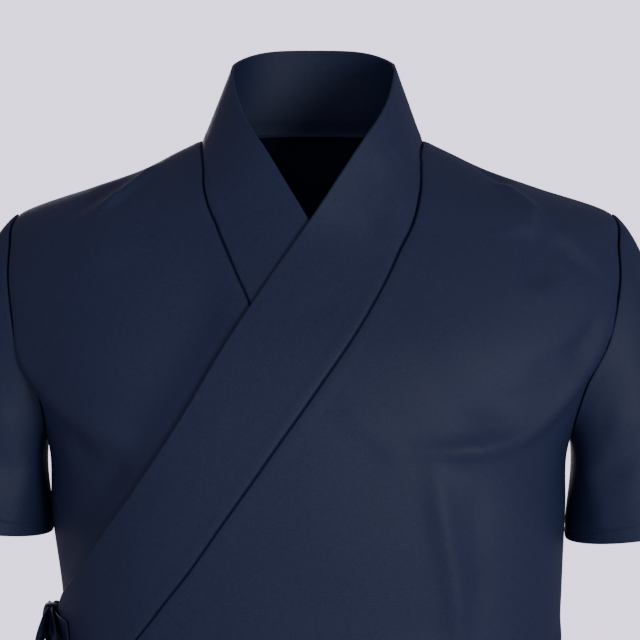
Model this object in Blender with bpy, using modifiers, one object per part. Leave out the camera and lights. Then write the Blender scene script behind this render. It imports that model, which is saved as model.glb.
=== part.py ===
"""A wrap-front jacket and trousers set, hollow and shaped as worn.

Run with: blender --background --python part.py

Places are worked out in millimetres and written in metres. +Z is up, the front faces -Y, and the
origin lies midway between the two points where the collar seam meets the shoulders. "Left" is the
wearer's left, at +X. On the jacket's body a place is given by its turn, in degrees round from the
left side seam (0) past the centre front (90) to the right side seam (180), and by its level, its
height in millimetres.
"""

import bmesh
import bpy
import numpy as np

MM = 0.001

# Driving sizes of the jacket, in millimetres
CLOTH = 1.3
FOLDED_BAND = 2.4
SEAM = 0.35
HEM_LEVEL = -700.0
SHOULDER_LEVEL = -58.0
ARMPIT_LEVEL = -232.0
ARMHOLE_FRONT_TURN = 27.0
ARMHOLE_BACK_TURN = 35.0
BAND_END_LEVEL = -455.0
OVERLAP_TURN = 177.5
OVER_LIFT = 3.6
BAND_LIFT = 1.1
NECK_SINK = -0.8

# Rings of the jacket's body: half width, depth to the front and back of a middle point, and how
# far the oval's corners are filled out
BODY_RINGS = np.array([
    # level side front back mid_x mid_y fill
    (0, 84, 46, 64, -1, 10, 0.000),
    (-10, 105, 53, 71, -1, 10, 0.000),
    (-24, 134, 61, 79, 0, 9, 0.000),
    (-38, 174, 69, 86, 0, 8, 0.005),
    (-58, 230, 80, 94, 1, 8, 0.010),
    (-82, 246, 94, 101, 0, 6, 0.015),
    (-112, 254, 108, 107, 0, 4, 0.020),
    (-150, 248, 123, 112, -1, 2, 0.025),
    (-190, 222, 132, 113, -2, 0, 0.030),
    (-235, 202.5, 136, 110, -4, -2, 0.035),
    (-290, 199.8, 135, 104, -4, -4, 0.035),
    (-350, 193.6, 130, 99, -3, -4, 0.035),
    (-420, 190, 126, 98, -1, -4, 0.035),
    (-500, 192, 126, 105, 0, -3, 0.030),
    (-600, 198, 128, 117, 0, -2, 0.025),
    (-700, 204, 131, 121, 0, -2, 0.020),
], float)

# Crosswise sections of the collar band on the wearer's left, from the shoulder point to its end at
# the waist. Each runs from its seam to its free edge, which stands off the neck (lies 0) and lies
# on the body further down (lies 1); there the edge's y follows from the body.
BAND_OVER = np.array([
    # seam_turn seam_level edge_x edge_y edge_z lies
    (0.0, 0, 62.5, 14, 58, 0.0),
    (24.0, -4, 63.5, -2, 54, 0.0),
    (37.8, -10, 61.5, -19, 44, 0.0),
    (45.8, -17, 57.5, -34, 32, 0.0),
    (53.2, -25, 50, -48, 19, 0.0),
    (61.6, -36, 38, -61, 3, 0.0),
    (69.6, -51, 24, -72, -17, 0.0),
    (73.9, -68, 9, -82, -39, 0.0),
    (78.5, -100, -10, -94, -67, 0.4),
    (85.0, -150, -38, -107, -107, 1.0),
    (92.0, -197, -68, -115, -151, 1.0),
    (101.0, -249, -101, -113, -206, 1.0),
    (111.5, -304, -136, -98, -260, 1.0),
    (119.2, -336, -156, -84, -290, 1.0),
    (130.6, -375, -176, -62, -323, 1.0),
    (149.6, -417, -190, -35, -347, 1.0),
    (177.5, -455, -197, -10, -372, 1.0),
], float)

# The same for the wearer's right, mirrored, where the band runs under the other side
BAND_UNDER = np.array([
    # seam_turn seam_level edge_x edge_y edge_z lies
    (0.0, 0, 63.5, 14, 57, 0.0),
    (21.7, -4, 64, -2, 52, 0.0),
    (36.0, -10, 61.5, -19, 39, 0.0),
    (44.4, -17, 56, -34, 25, 0.0),
    (51.8, -25, 48, -47, 11, 0.0),
    (61.4, -37, 36, -59, -6, 0.0),
    (69.8, -53, 22, -70, -28, 0.0),
    (73.9, -70, 8, -80, -50, 0.0),
    (78.5, -103, -8, -93, -77, 0.5),
    (84.3, -154, -36, -106, -118, 1.0),
    (91.5, -202, -64, -113, -160, 1.0),
    (100.7, -252, -97, -112, -211, 1.0),
    (111.2, -306, -132, -98, -263, 1.0),
    (118.9, -338, -151, -84, -292, 1.0),
    (130.0, -374, -170, -64, -322, 1.0),
    (147.0, -410, -182, -44, -343, 1.0),
    (166.0, -438, -189, -34, -362, 1.0),
], float)

# The free edge of the collar band round the back of the neck
NECK_EDGE_HALF_WIDTH = 63.0
NECK_EDGE_MID_Y = 14.0
NECK_EDGE_DEPTH = 50.0
NECK_EDGE_SIDE_LEVEL = 57.5
NECK_EDGE_BACK_LEVEL = 66.0

# Soft folds of the body: the ends of each one's crest, its half width, and its height
BODY_FOLDS = np.array([
    # turn_a level_a turn_b level_b half_width height
    (36, -168, 60, -230, 24, 3.0),
    (64, -232, 62, -350, 26, 2.0),
    (144, -172, 128, -224, 24, 2.5),
    (140, -24, 128, -90, 20, 2.0),
    (22, -430, 24, -700, 34, 3.0),
    (56, -480, 58, -700, 34, 2.5),
    (122, -500, 120, -700, 34, 2.5),
    (156, -470, 154, -700, 34, 3.0),
    (204, -310, 206, -700, 34, 3.0),
    (236, -340, 238, -700, 34, 3.0),
    (270, -250, 270, -700, 36, 2.5),
    (304, -340, 302, -700, 34, 3.0),
    (336, -310, 334, -700, 34, 3.0),
], float)

# Sleeves
CUFF_OUT = {"left": 253.6, "right": 261.5}
CUFF_MID_Y = 4.0
CUFF_LEVEL = {"left": -303.0, "right": -297.0}
CUFF_HALF_WIDTH = 57.0
CUFF_HALF_DEPTH = 64.0
CUFF_TILT = np.radians(8.0)
SLEEVE_START = 0.7

# Driving sizes of the trousers, in millimetres
WAIST_LEVEL = -430.0
WAISTBAND_HEIGHT = 38.0
WAISTBAND = 2.6
CROTCH_LEVEL = -735.0
RISE_TOP_LEVEL = -640.0
LEG_HEM_LEVEL = -1490.0
CENTRE_GAP = 0.25

# Rings of the wearer's left leg
LEG_RINGS = np.array([
    # level mid_x mid_y side front back
    (-469, 98, 0, 92, 100, 104),
    (-600, 99, 2, 97, 104, 112),
    (-735, 101, 4, 98, 95, 101),
    (-850, 103, 2, 94, 90, 94),
    (-1000, 106, -3, 87, 81, 82),
    (-1150, 109, -4, 81, 75, 76),
    (-1300, 111, 1, 79, 72, 75),
    (-1430, 112, 7, 80, 71, 78),
    (-1490, 112, 9, 81, 71, 80),
], float)

# Rings of the hips, above the crotch
HIP_RINGS = np.array([
    # level side front back mid_y
    (-430, 166, 92, 90, -2),
    (-469, 168, 96, 94, -2),
    (-540, 182, 106, 108, -2),
    (-600, 193, 110, 114, -2),
    (-660, 199.4, 110, 116, -1),
    (-735, 201, 106, 112, 0),
], float)

# Soft folds of the legs: the share of the way from the outseam to the inseam, levels, half width
# and height
LEG_FOLDS = np.array([
    # share_a level_a share_b level_b half_width height
    (0.50, -760, 0.50, -1480, 26, 3.0),
    (0.86, -790, 0.52, -900, 34, 3.0),
    (0.10, -1130, 0.60, -1200, 34, 2.5),
], float)

# The tie's bow on the wearer's right side
TIE_WIDTH = 20.0
TIE_CLOTH = 1.6
KNOT_CENTRE = (-206.0, -6.0, -374.0)
KNOT_SIZE = (13.0, 21.0, 24.0)
LOOP_LENGTH = 62.0
LOOP_BULGE = 11.0
LOOP_DROOP = np.radians(62.0)
TAIL_LENGTH = 150.0

# Where the rows of points run across the jacket's panels, up from the hem
HEM_LEVELS = np.linspace(HEM_LEVEL, BAND_END_LEVEL, 6)
SIDE_LEVELS = np.array([-446, -438, -427, -413, -396, -372, -342, -308, -271.0])
ARMHOLE_ANGLES = np.linspace(180, 0, 13)
SHOULDER_LEVELS = np.array([-46, -35, -25.5, -17.5, -11, -6, -3])
FRONT_TOP_LEVEL = -1.4

# How finely the rest is divided
FRONT_COLUMNS = 18
BACK_COLUMNS = 16
NECK_COLUMNS = 12
BAND_COLUMNS = 3
SLEEVE_ROWS = 7
LEG_SHARES = np.array([0, 0.03, 0.13, 0.26, 0.41, 0.59, 0.74, 0.87, 0.97, 1])


def smooth_rows(table, at):
    """Values between a table's rows, on a Catmull-Rom curve through them; at counts rows."""
    at = np.clip(np.asarray(at, float), 0, len(table) - 1)
    padded = np.vstack([2 * table[0] - table[1], table, 2 * table[-1] - table[-2]])
    first = np.minimum(at.astype(int), len(table) - 2)
    f = (at - first)[..., None]
    a, b, c, d = (padded[first + k] for k in range(4))
    return 0.5 * (2 * b + (c - a) * f + (2 * a - 5 * b + 4 * c - d) * f**2 + (3 * b - a - 3 * c + d) * f**3)


def row_of(table, level):
    """The place between a table's rows where its first column, the level, has this value."""
    rows = np.linspace(0, len(table) - 1, 40 * len(table))
    return np.interp(-np.asarray(level, float), -smooth_rows(table, rows)[:, 0], rows)


def step(value):
    """0 below 0, 1 above 1, and an even S between."""
    value = np.clip(value, 0, 1)
    return value * value * (3 - 2 * value)


def fold_height(folds, across, level, across_mm):
    """The height that soft folds add: each is a rounded crest along a line, fading at its ends."""
    height = np.zeros(np.broadcast(across, level).shape)
    for across_a, level_a, across_b, level_b, half_width, crest in folds:
        line = np.array([(across_b - across_a) * across_mm, level_b - level_a])
        length = np.hypot(*line)
        way = ((across - across_a) * across_mm * line[0] + (level - level_a) * line[1]) / length**2
        aside = ((across - across_a) * across_mm * line[1] - (level - level_a) * line[0]) / length
        ends = step(way / 0.25 + 0.5) * step((1 - way) / 0.25 + 0.5)
        height += crest * np.exp(-((aside / half_width) ** 2)) * ends
    return height


def bare_body(turn, row):
    """A place on the body's oval ring at this turn, with no folds, for arrays of turns and rows."""
    turn, row = np.broadcast_arrays(turn, row)
    level, side, front, back, mid_x, mid_y, fill = np.moveaxis(smooth_rows(BODY_RINGS, row), -1, 0)
    angle = np.radians(turn)
    across = (np.cos(angle) - fill * np.cos(3 * angle)) / (1 - fill)
    forward = (np.sin(angle) + fill * np.sin(3 * angle)) / (1 - fill)
    depth = np.where(forward > 0, front, back)
    return np.stack([mid_x + side * across, mid_y - depth * forward, level], -1)


def turn_at(x, level):
    """The turn at which the front of the body's ring at this level comes to this x."""
    turns = np.linspace(0, OVERLAP_TURN, 400)
    rings = bare_body(turns[None, :], row_of(BODY_RINGS, level)[:, None])[..., 0]
    return np.array([np.interp(-here, -ring, turns) for here, ring in zip(x, rings)])


def body(turn, row, lift):
    """A place on the folded body, lifted off it along its own outward direction."""
    turn, row = np.broadcast_arrays(np.asarray(turn, float), np.asarray(row, float))
    rows = np.clip(row, 0.02, len(BODY_RINGS) - 1.02)
    round_it = bare_body(turn + 0.5, rows) - bare_body(turn - 0.5, rows)
    down_it = bare_body(turn, rows + 0.02) - bare_body(turn, rows - 0.02)
    out = np.cross(round_it, down_it)
    out *= 1 / np.linalg.norm(out, axis=-1, keepdims=True)
    place = bare_body(turn, row)
    level = place[..., 2]
    folds = fold_height(BODY_FOLDS, turn, level, 2.5)
    folds *= step((SHOULDER_LEVEL / 4 - level) / 30)
    return place + out * (np.asarray(lift) + folds)[..., None]


def armhole(angle):
    """(turn, level) of the left armhole's edge; angle is 0 at the shoulder, 90 in front."""
    angle = np.radians(angle)
    most = np.where(np.sin(angle) > 0, ARMHOLE_FRONT_TURN, ARMHOLE_BACK_TURN)
    share = (1 + np.cos(angle)) / 2
    return most * np.sin(angle), ARMPIT_LEVEL + (SHOULDER_LEVEL - ARMPIT_LEVEL) * share


def draw_in(points, first_row=0.0, last_row=0.0, first_column=0.0, last_column=0.0):
    """The grid with its four edges moved towards their neighbours, to leave the seams' gaps."""
    points = points.copy()
    for edge, beside, gap in (
        (np.s_[0], np.s_[1], first_row),
        (np.s_[-1], np.s_[-2], last_row),
        (np.s_[:, 0], np.s_[:, 1], first_column),
        (np.s_[:, -1], np.s_[:, -2], last_column),
    ):
        way = points[beside] - points[edge]
        points[edge] += gap * way / np.linalg.norm(way, axis=-1, keepdims=True)
    return points


def panel_levels(top):
    """Levels of the rows across a front or the back, from the hem to this topmost one."""
    armhole_levels = armhole(ARMHOLE_ANGLES)[1]
    return np.concatenate([HEM_LEVELS, SIDE_LEVELS, armhole_levels, SHOULDER_LEVELS, [top]])


def armhole_turn(levels, angle_sign):
    """How far the armhole's edge lies from the side seam's line at each level, in degrees."""
    share = np.clip((levels - ARMPIT_LEVEL) / (SHOULDER_LEVEL - ARMPIT_LEVEL), 0, 1)
    angles = np.degrees(np.arccos(2 * share - 1))
    return np.abs(armhole(angle_sign * angles)[0])


def band_at(band, levels):
    """The places between a band table's rows where its seam comes to these levels."""
    at = np.linspace(0, len(band) - 1, 40 * len(band))
    return np.interp(-levels, -smooth_rows(band, at)[:, 1], at)


def front_edge_turn(band, levels):
    """The turn of a front's free edge, and above it of its collar seam, at each level."""
    return smooth_rows(band, band_at(band, levels))[:, 0]


def over_lift(turn, row):
    """How far the overlapping front lies out, so that the underlap and its band pass under it."""
    x, _, level = np.moveaxis(bare_body(turn, row), -1, 0)
    edge_level = np.interp(x, -BAND_UNDER[2:, 2], BAND_UNDER[2:, 4])
    below_edge = step((edge_level + 45 - level) / 38)
    return OVER_LIFT * below_edge * step(turn / 11)


def front_panel(band, mirrored):
    """The grid of one front, from its side seam and armhole to its free edge and collar seam."""
    levels = panel_levels(FRONT_TOP_LEVEL)
    share = np.linspace(0, 1, FRONT_COLUMNS + 1)
    turn = (1 - share) * armhole_turn(levels, 1)[:, None] + share * front_edge_turn(band, levels)[:, None]
    row = row_of(BODY_RINGS, levels)[:, None]
    if mirrored:
        points = body(180 - turn, row, 0.0)
    else:
        points = body(turn, row, over_lift(turn, row))
    return draw_in(points, first_column=SEAM / 2, last_column=SEAM)


def back_panel():
    """The grid of the back, between the side seams, armholes, shoulder seams and neckline."""
    levels = panel_levels(0.0)
    share = np.linspace(0, 1, BACK_COLUMNS + 1)
    inset = armhole_turn(levels, -1)[:, None]
    points = body(180 + inset + (180 - 2 * inset) * share, row_of(BODY_RINGS, levels)[:, None], 0.0)
    return draw_in(points, last_row=SEAM, first_column=SEAM / 2, last_column=SEAM / 2)


def band_side(band, mirrored):
    """The grid of the collar band on one side, from the shoulder point down to its end.

    It lies BAND_LIFT above its own front, and closer in where it goes up to the neck.
    """
    levels = panel_levels(FRONT_TOP_LEVEL)
    levels = np.concatenate([[0.0], levels[levels >= band[-1, 1] - 0.01][::-1]])
    at = band_at(band, levels)
    seam_turn, seam_level, edge_x, edge_y, edge_z, lies = smooth_rows(band, at).T
    lies = np.clip(lies, 0, 1)[:, None]
    seam_row = row_of(BODY_RINGS, np.minimum(seam_level, 0))
    edge_row = row_of(BODY_RINGS, np.minimum(edge_z, 0))
    edge_turn = turn_at(edge_x, np.minimum(edge_z, 0))
    if mirrored:
        seam_turn, edge_turn, edge_x = 180 - seam_turn, 180 - edge_turn, -edge_x
    share = np.linspace(0, 1, BAND_COLUMNS + 1)[None, :, None]
    turns = seam_turn[:, None] + (edge_turn - seam_turn)[:, None] * share[..., 0]
    rows = seam_row[:, None] + (edge_row - seam_row)[:, None] * share[..., 0]
    front_lift = 0.0 if mirrored else over_lift(turns, rows)
    lift = NECK_SINK + (front_lift + BAND_LIFT - NECK_SINK) * step((at[:, None] - 2) / 5)
    laid = body(turns, rows, lift)
    first, last = laid[:, :1], laid[:, -1:]
    edge = (1 - lies) * np.stack([edge_x, edge_y, edge_z], -1) + lies * last[:, 0]
    straight = (1 - share) * first + share * edge[:, None]
    resting = laid - (1 - share) * first - share * last
    return straight + lies[:, None] * resting


def collar_band():
    """The whole band: up the underlap, round the neck, and down the overlap."""
    under = band_side(BAND_UNDER, True)[::-1]
    over = band_side(BAND_OVER, False)
    turns = np.linspace(180, 360, NECK_COLUMNS + 1)[1:-1]
    seam = body(turns, np.zeros(len(turns)), NECK_SINK)
    angle = np.radians(turns)
    rise = (NECK_EDGE_BACK_LEVEL - NECK_EDGE_SIDE_LEVEL) * (1 - np.cos(angle) ** 4)
    edge = np.stack([
        NECK_EDGE_HALF_WIDTH * np.cos(angle),
        NECK_EDGE_MID_Y + NECK_EDGE_DEPTH * np.abs(np.sin(angle)) ** 0.8,
        NECK_EDGE_SIDE_LEVEL + rise,
    ], -1)
    across = np.linspace(0, 1, BAND_COLUMNS + 1)[None, :, None]
    neck = (1 - across) * seam[:, None] + across * edge[:, None]
    points = np.concatenate([under, neck, over])
    return draw_in(points, first_column=SEAM / 2)


def armhole_ring(side):
    """The armhole's edge on the body, round from the shoulder past the front, SLEEVE_START out."""
    angles = np.linspace(0, 360, 2 * len(ARMHOLE_ANGLES) - 1)[:-1]
    turns, levels = armhole(angles)
    if side == "right":
        turns = 180 - turns
    points = body(turns, row_of(BODY_RINGS, levels), 0.0)
    outward = 1 if side == "left" else -1
    points[:, 0] += outward * SLEEVE_START
    return angles, points


def sleeve(side):
    """The sleeve's grid: a cubic from each place of the armhole to its place on the cuff's oval."""
    angles, start = armhole_ring(side)
    outward = 1 if side == "left" else -1
    angle = np.radians(angles)
    cuff = np.stack([
        CUFF_OUT[side] + CUFF_HALF_WIDTH * np.cos(angle) * np.cos(CUFF_TILT),
        CUFF_MID_Y - CUFF_HALF_DEPTH * np.sin(angle),
        CUFF_LEVEL[side] + CUFF_HALF_WIDTH * np.cos(angle) * np.sin(CUFF_TILT),
    ], -1)
    cuff[:, 0] *= outward
    high = ((1 + np.cos(angle)) / 2)[:, None]
    leave = high * np.array([66, 0, -12]) + (1 - high) * np.array([20, 0, -52])
    leave[:, 0] += 34 * np.sin(angle) ** 2
    leave[:, 0] *= outward
    reach = np.linalg.norm(cuff - start, axis=1)[:, None]
    arrive = np.array([0.12 * outward, 0, -0.99]) * reach * 0.95
    s = np.linspace(0, 1, SLEEVE_ROWS + 1)[:, None, None]
    return (
        (2 * s**3 - 3 * s**2 + 1) * start
        + (s**3 - 2 * s**2 + s) * leave
        + (3 * s**2 - 2 * s**3) * cuff
        + (s**3 - s**2) * arrive
    )


def leg(share, level, forward):
    """A place on the wearer's left trouser leg or hip, share of the way from outseam to inseam.

    Below the crotch it is half an oval, above it a quarter of the hips' oval, and between them
    the rise's J passes from one to the other. forward is 1 for the front and -1 for the back.
    """
    ring = np.moveaxis(smooth_rows(LEG_RINGS, row_of(LEG_RINGS, level)), -1, 0)
    _, mid_x, mid_y, side, front, back = ring
    depth = front if forward > 0 else back
    angle = np.pi * share
    tube = np.stack([mid_x + side * np.cos(angle), mid_y - forward * depth * np.sin(angle)], -1)
    mid_y_leg, depth_leg = mid_y, depth
    _, side, front, back, mid_y = np.moveaxis(smooth_rows(HIP_RINGS, row_of(HIP_RINGS, level)), -1, 0)
    depth = front if forward > 0 else back
    angle = np.pi / 2 * share
    hip = np.stack([CENTRE_GAP + (side - CENTRE_GAP) * np.cos(angle),
                    mid_y - forward * depth * np.sin(angle)], -1)
    rise = np.clip((level - CROTCH_LEVEL) / (RISE_TOP_LEVEL - CROTCH_LEVEL), 0, 1)
    join = np.sqrt(1 - (1 - rise) ** 2)[..., None]
    flat = (1 - join) * tube + join * hip
    # between the two ovals the depth passes evenly from one to the other
    turns = np.linspace(0, np.pi, 41)
    across = [(1 - join[..., 0]) * (mid_y_leg - forward * depth_leg * np.sin(t))
              + join[..., 0] * (mid_y - forward * depth * np.sin(t / 2)) for t in turns]
    reach = np.max(-forward * (np.array(across) - mid_y), axis=0)
    wanted = (1 - step(rise)) * (depth_leg - forward * (mid_y_leg - mid_y)) + step(rise) * depth
    # and not under the jacket, which lies close there
    below_hem = step((HEM_LEVEL - 4 - level) / 24)
    flat[..., 1] = mid_y + (flat[..., 1] - mid_y) * (1 + (wanted / reach - 1) * below_hem * (rise > 0))
    return np.concatenate([flat, np.broadcast_to(level, share.shape)[..., None]], -1)


def leg_panel(side, forward):
    """The grid of one trouser panel, from hem to waistband and from outseam to inseam or rise."""
    levels = np.concatenate([
        np.linspace(LEG_HEM_LEVEL, CROTCH_LEVEL, 10)[:-1],
        CROTCH_LEVEL + (RISE_TOP_LEVEL - CROTCH_LEVEL) * (1 - np.cos(np.linspace(0, np.pi / 2, 6)))[:-1],
        np.linspace(RISE_TOP_LEVEL, WAIST_LEVEL - WAISTBAND_HEIGHT - SEAM, 4),
    ])
    share, level = np.meshgrid(LEG_SHARES, levels)
    points = leg(share, level, forward)
    down = leg(share, level - 1, forward) - leg(share, level + 1, forward)
    inward = leg(np.clip(share + 0.01, 0, 1), level, forward) - leg(np.clip(share - 0.01, 0, 1), level, forward)
    out = np.cross(inward, down) * forward
    out /= np.linalg.norm(out, axis=-1, keepdims=True)
    crests = fold_height(LEG_FOLDS, share, level, 250.0) * np.sin(np.pi * share) ** 0.5
    points += out * (crests * step((CROTCH_LEVEL + 60 - level) / 120))[..., None]
    points = draw_in(points, first_column=SEAM / 2, last_column=SEAM / 2)
    if side == "right":
        points[..., 0] *= -1
    return points


def waistband_ring():
    """The waistband's outer face, a short tube on the hips' highest rings."""
    turns = np.radians(np.linspace(0, 360, 37)[:-1])
    levels = np.linspace(WAIST_LEVEL - WAISTBAND_HEIGHT, WAIST_LEVEL, 3)[:, None]
    _, side, front, back, mid_y = np.moveaxis(smooth_rows(HIP_RINGS, row_of(HIP_RINGS, levels)), -1, 0)
    depth = np.where(np.sin(turns) > 0, front, back)
    return np.stack([
        side * np.cos(turns),
        mid_y - depth * np.sin(turns),
        np.broadcast_to(levels, (3, len(turns))),
    ], -1)


def ribbon(path, wide):
    """The grid of a tie's stretch: its path with half its width to each side."""
    path, wide = np.asarray(path, float), np.asarray(wide, float)
    wide = np.broadcast_to(wide / np.linalg.norm(wide, axis=-1, keepdims=True), path.shape)
    sides = np.linspace(-0.5, 0.5, 3)[:, None, None] * TIE_WIDTH
    return path[None] + sides * wide[None]


def bow_loop(forward):
    """A loop of the bow: out from the knot and back in a drop's shape, bending down as it goes."""
    turns = np.radians(np.linspace(16, 344, 21))
    along_loop = LOOP_LENGTH * (1 - np.cos(turns)) / 2
    out = LOOP_BULGE * np.sin(turns) * (1 - np.cos(turns)) / 2 + (TIE_CLOTH + 0.5) * np.cos(turns / 2)
    bend = LOOP_DROOP * along_loop / LOOP_LENGTH
    reach = KNOT_SIZE[1] / 2 - 0.2 + LOOP_LENGTH / LOOP_DROOP * np.sin(bend)
    drop = LOOP_LENGTH / LOOP_DROOP * (1 - np.cos(bend))
    path = np.stack([-out, -forward * reach, -drop], -1)
    wide = np.stack([0 * bend, -forward * np.sin(bend), np.cos(bend)], -1)
    return np.array(KNOT_CENTRE) + ribbon(path, wide)


def bow_tail(forward):
    """A tail of the bow: it leaves the knot's foot and hangs, with one slow wave."""
    share = np.linspace(0, 1, 12)
    path = np.stack([
        -1.6 * forward - 2 - 4 * np.sin(np.pi * share) + 2 * share,
        -forward * (2 + 18 * share**0.8),
        -KNOT_SIZE[2] / 2 - 0.5 - (TAIL_LENGTH + 14 * forward) * share,
    ], -1)
    wide = np.stack([0 * share, np.ones(12), -0.1 * forward * share], -1)
    return np.array(KNOT_CENTRE) + ribbon(path, wide)


def tie_root(forward):
    """The short stretch of tie that lies on the body from its stitching to the knot."""
    way = np.linspace(0, 1, 4)
    turns = 158 + 17.2 * way if forward > 0 else 202.5 - 18.0 * way
    levels = KNOT_CENTRE[2] + np.linspace(-0.5, 0.5, 3)[:, None] * TIE_WIDTH * 0.8
    lying = OVER_LIFT + BAND_LIFT + 1.5 * way**2 if forward > 0 else 5.5 * way**2
    lift = lying + TIE_CLOTH + 0.5
    return body(turns[None, :], row_of(BODY_RINGS, levels), lift)


def material(name, red, green, blue, roughness):
    """A cloth's plain Principled finish."""
    made = bpy.data.materials.new(name)
    made.use_nodes = True
    shader = made.node_tree.nodes["Principled BSDF"]
    shader.inputs["Base Color"].default_value = (red, green, blue, 1)
    shader.inputs["Roughness"].default_value = roughness
    shader.inputs["Metallic"].default_value = 0
    return made


def cloth(name, points, thickness, finish, outward, tube=False):
    """One panel: its grid as an open surface, and a wall of that thickness behind it.

    outward gives, for each place, a direction that leaves the garment there. Each cell is cut
    into two triangles along its shorter diagonal.
    """
    outer = np.arange(points.shape[0] * points.shape[1]).reshape(points.shape[:2])
    if tube:
        outer = np.concatenate([outer, outer[:, :1]], axis=1)
    a, b, c, d = (corner.ravel() for corner in (outer[:-1, :-1], outer[:-1, 1:], outer[1:, 1:], outer[1:, :-1]))
    flat = points.reshape(-1, 3)
    split = (np.linalg.norm(flat[a] - flat[c], axis=1) < np.linalg.norm(flat[b] - flat[d], axis=1))[:, None]
    cells = np.concatenate([
        np.where(split, np.stack([a, b, c], -1), np.stack([a, b, d], -1)),
        np.where(split, np.stack([a, c, d], -1), np.stack([b, c, d], -1)),
    ])
    facing = np.cross(flat[cells[:, 1]] - flat[cells[:, 0]], flat[cells[:, 2]] - flat[cells[:, 0]])
    if (facing * outward.reshape(-1, 3)[cells[:, 0]]).sum() < 0:
        cells = cells[:, ::-1]
    mesh = bpy.data.meshes.new(name)
    mesh.from_pydata((flat * MM).tolist(), [], cells.tolist())
    mesh.shade_smooth()
    mesh.materials.append(finish)
    piece = bpy.data.objects.new(name, mesh)
    wall = piece.modifiers.new("wall", "SOLIDIFY")
    wall.thickness = thickness * MM
    wall.offset = -1
    return piece


def knot(finish):
    """The bow's knot: a rounded block a little larger than the ties that go through it."""
    mesh = bpy.data.meshes.new("tie_knot")
    shape = bmesh.new()
    bmesh.ops.create_cube(shape, size=1)
    bmesh.ops.scale(shape, vec=np.array(KNOT_SIZE) * MM, verts=shape.verts)
    shape.to_mesh(mesh)
    shape.free()
    mesh.materials.append(finish)
    piece = bpy.data.objects.new("tie_knot", mesh)
    piece.location = np.array(KNOT_CENTRE) * MM
    rounding = piece.modifiers.new("rounding", "BEVEL")
    rounding.width = 5 * MM
    rounding.segments = 3
    return piece


def build_pieces():
    """Every named solid, in a list."""
    navy = material("navy_jacket_cloth", 0.016, 0.026, 0.058, 0.75)
    dark = material("navy_trouser_cloth", 0.015, 0.024, 0.054, 0.78)
    axis = np.array([1, 1, 0.25])
    pieces = []

    def add(name, points, thickness, finish, centre, tube=False):
        outward = (points - np.asarray(centre, float)) * axis
        pieces.append(cloth(name, points, thickness, finish, outward, tube))

    chest = (0, 0, -200)
    add("back", back_panel(), CLOTH, navy, chest)
    add("front_left", front_panel(BAND_OVER, False), CLOTH, navy, chest)
    add("front_right", front_panel(BAND_UNDER, True), CLOTH, navy, chest)
    add("collar_band", collar_band(), FOLDED_BAND, navy, chest)
    for side, sign in (("left", 1), ("right", -1)):
        add(f"sleeve_{side}", sleeve(side), CLOTH, navy, (sign * CUFF_OUT[side] * 0.95, 4, -200), tube=True)
        for word, forward in (("front", 1), ("back", -1)):
            points = leg_panel(side, forward)
            centre = (sign * 100, 0, -1000)
            add(f"trouser_{word}_{side}", points, CLOTH, dark, centre)
    add("waistband", waistband_ring(), WAISTBAND, dark, (0, 0, WAIST_LEVEL), tube=True)
    for word, forward in (("front", 1), ("back", -1)):
        add(f"tie_loop_{word}", bow_loop(forward), TIE_CLOTH, navy, KNOT_CENTRE)
        add(f"tie_tail_{word}", bow_tail(forward), TIE_CLOTH, navy, (0, 0, -450))
        add(f"tie_root_{word}", tie_root(forward), TIE_CLOTH, navy, chest)
    pieces.append(knot(navy))
    return pieces


def main():
    for old in list(bpy.data.objects):
        bpy.data.objects.remove(old)
    garment = bpy.data.collections.new("jacket_and_trousers_set")
    bpy.context.scene.collection.children.link(garment)
    for piece in build_pieces():
        garment.objects.link(piece)


if __name__ == "__main__":
    main()
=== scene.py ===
"""The looks of a wrap-front jacket and trousers set in plain navy cloth, worn and hollow.

The jacket's body is worked out by turn, in degrees round from the wearer's left side seam (0) past
the centre front (90) to the right side seam (180), and by level, the height in millimetres over the
shoulder points of the collar seam. Each panel is a grid of places on it, and a wall of cloth behind.
"""

import bpy
import numpy as np
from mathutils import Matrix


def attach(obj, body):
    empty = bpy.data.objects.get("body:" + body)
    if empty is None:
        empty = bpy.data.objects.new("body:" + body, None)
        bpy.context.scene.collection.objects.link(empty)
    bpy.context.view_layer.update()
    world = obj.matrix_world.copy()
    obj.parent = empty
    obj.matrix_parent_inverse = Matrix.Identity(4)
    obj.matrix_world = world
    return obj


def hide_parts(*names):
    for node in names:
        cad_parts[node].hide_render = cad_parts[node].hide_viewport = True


bl_info = {
    "name": "Wrap jacket and trousers set",
    "version": (1, 0, 0),
    "blender": (4, 5, 0),
    "location": "3D View > Sidebar > Garment",
    "description": "Makes the cloth, seams, hems and studio of a wrap jacket and trousers set",
    "category": "Object",
}

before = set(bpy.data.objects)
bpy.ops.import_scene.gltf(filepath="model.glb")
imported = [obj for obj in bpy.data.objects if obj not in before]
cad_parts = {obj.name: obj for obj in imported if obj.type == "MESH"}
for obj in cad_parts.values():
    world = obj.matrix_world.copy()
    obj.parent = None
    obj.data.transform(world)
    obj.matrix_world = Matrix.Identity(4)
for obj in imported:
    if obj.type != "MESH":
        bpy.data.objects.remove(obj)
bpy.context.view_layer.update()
MM = 0.001

# The solids' own sizes, in millimetres
SEAM = 0.35
HEM_LEVEL = -700.0
SHOULDER_LEVEL = -58.0
ARMPIT_LEVEL = -232.0
ARMHOLE_FRONT_TURN = 27.0
ARMHOLE_BACK_TURN = 35.0
BAND_END_LEVEL = -455.0
OVERLAP_TURN = 177.5
OVER_LIFT = 3.6
BAND_LIFT = 1.1
NECK_SINK = -0.8
FRONT_TOP_LEVEL = -1.4

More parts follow.
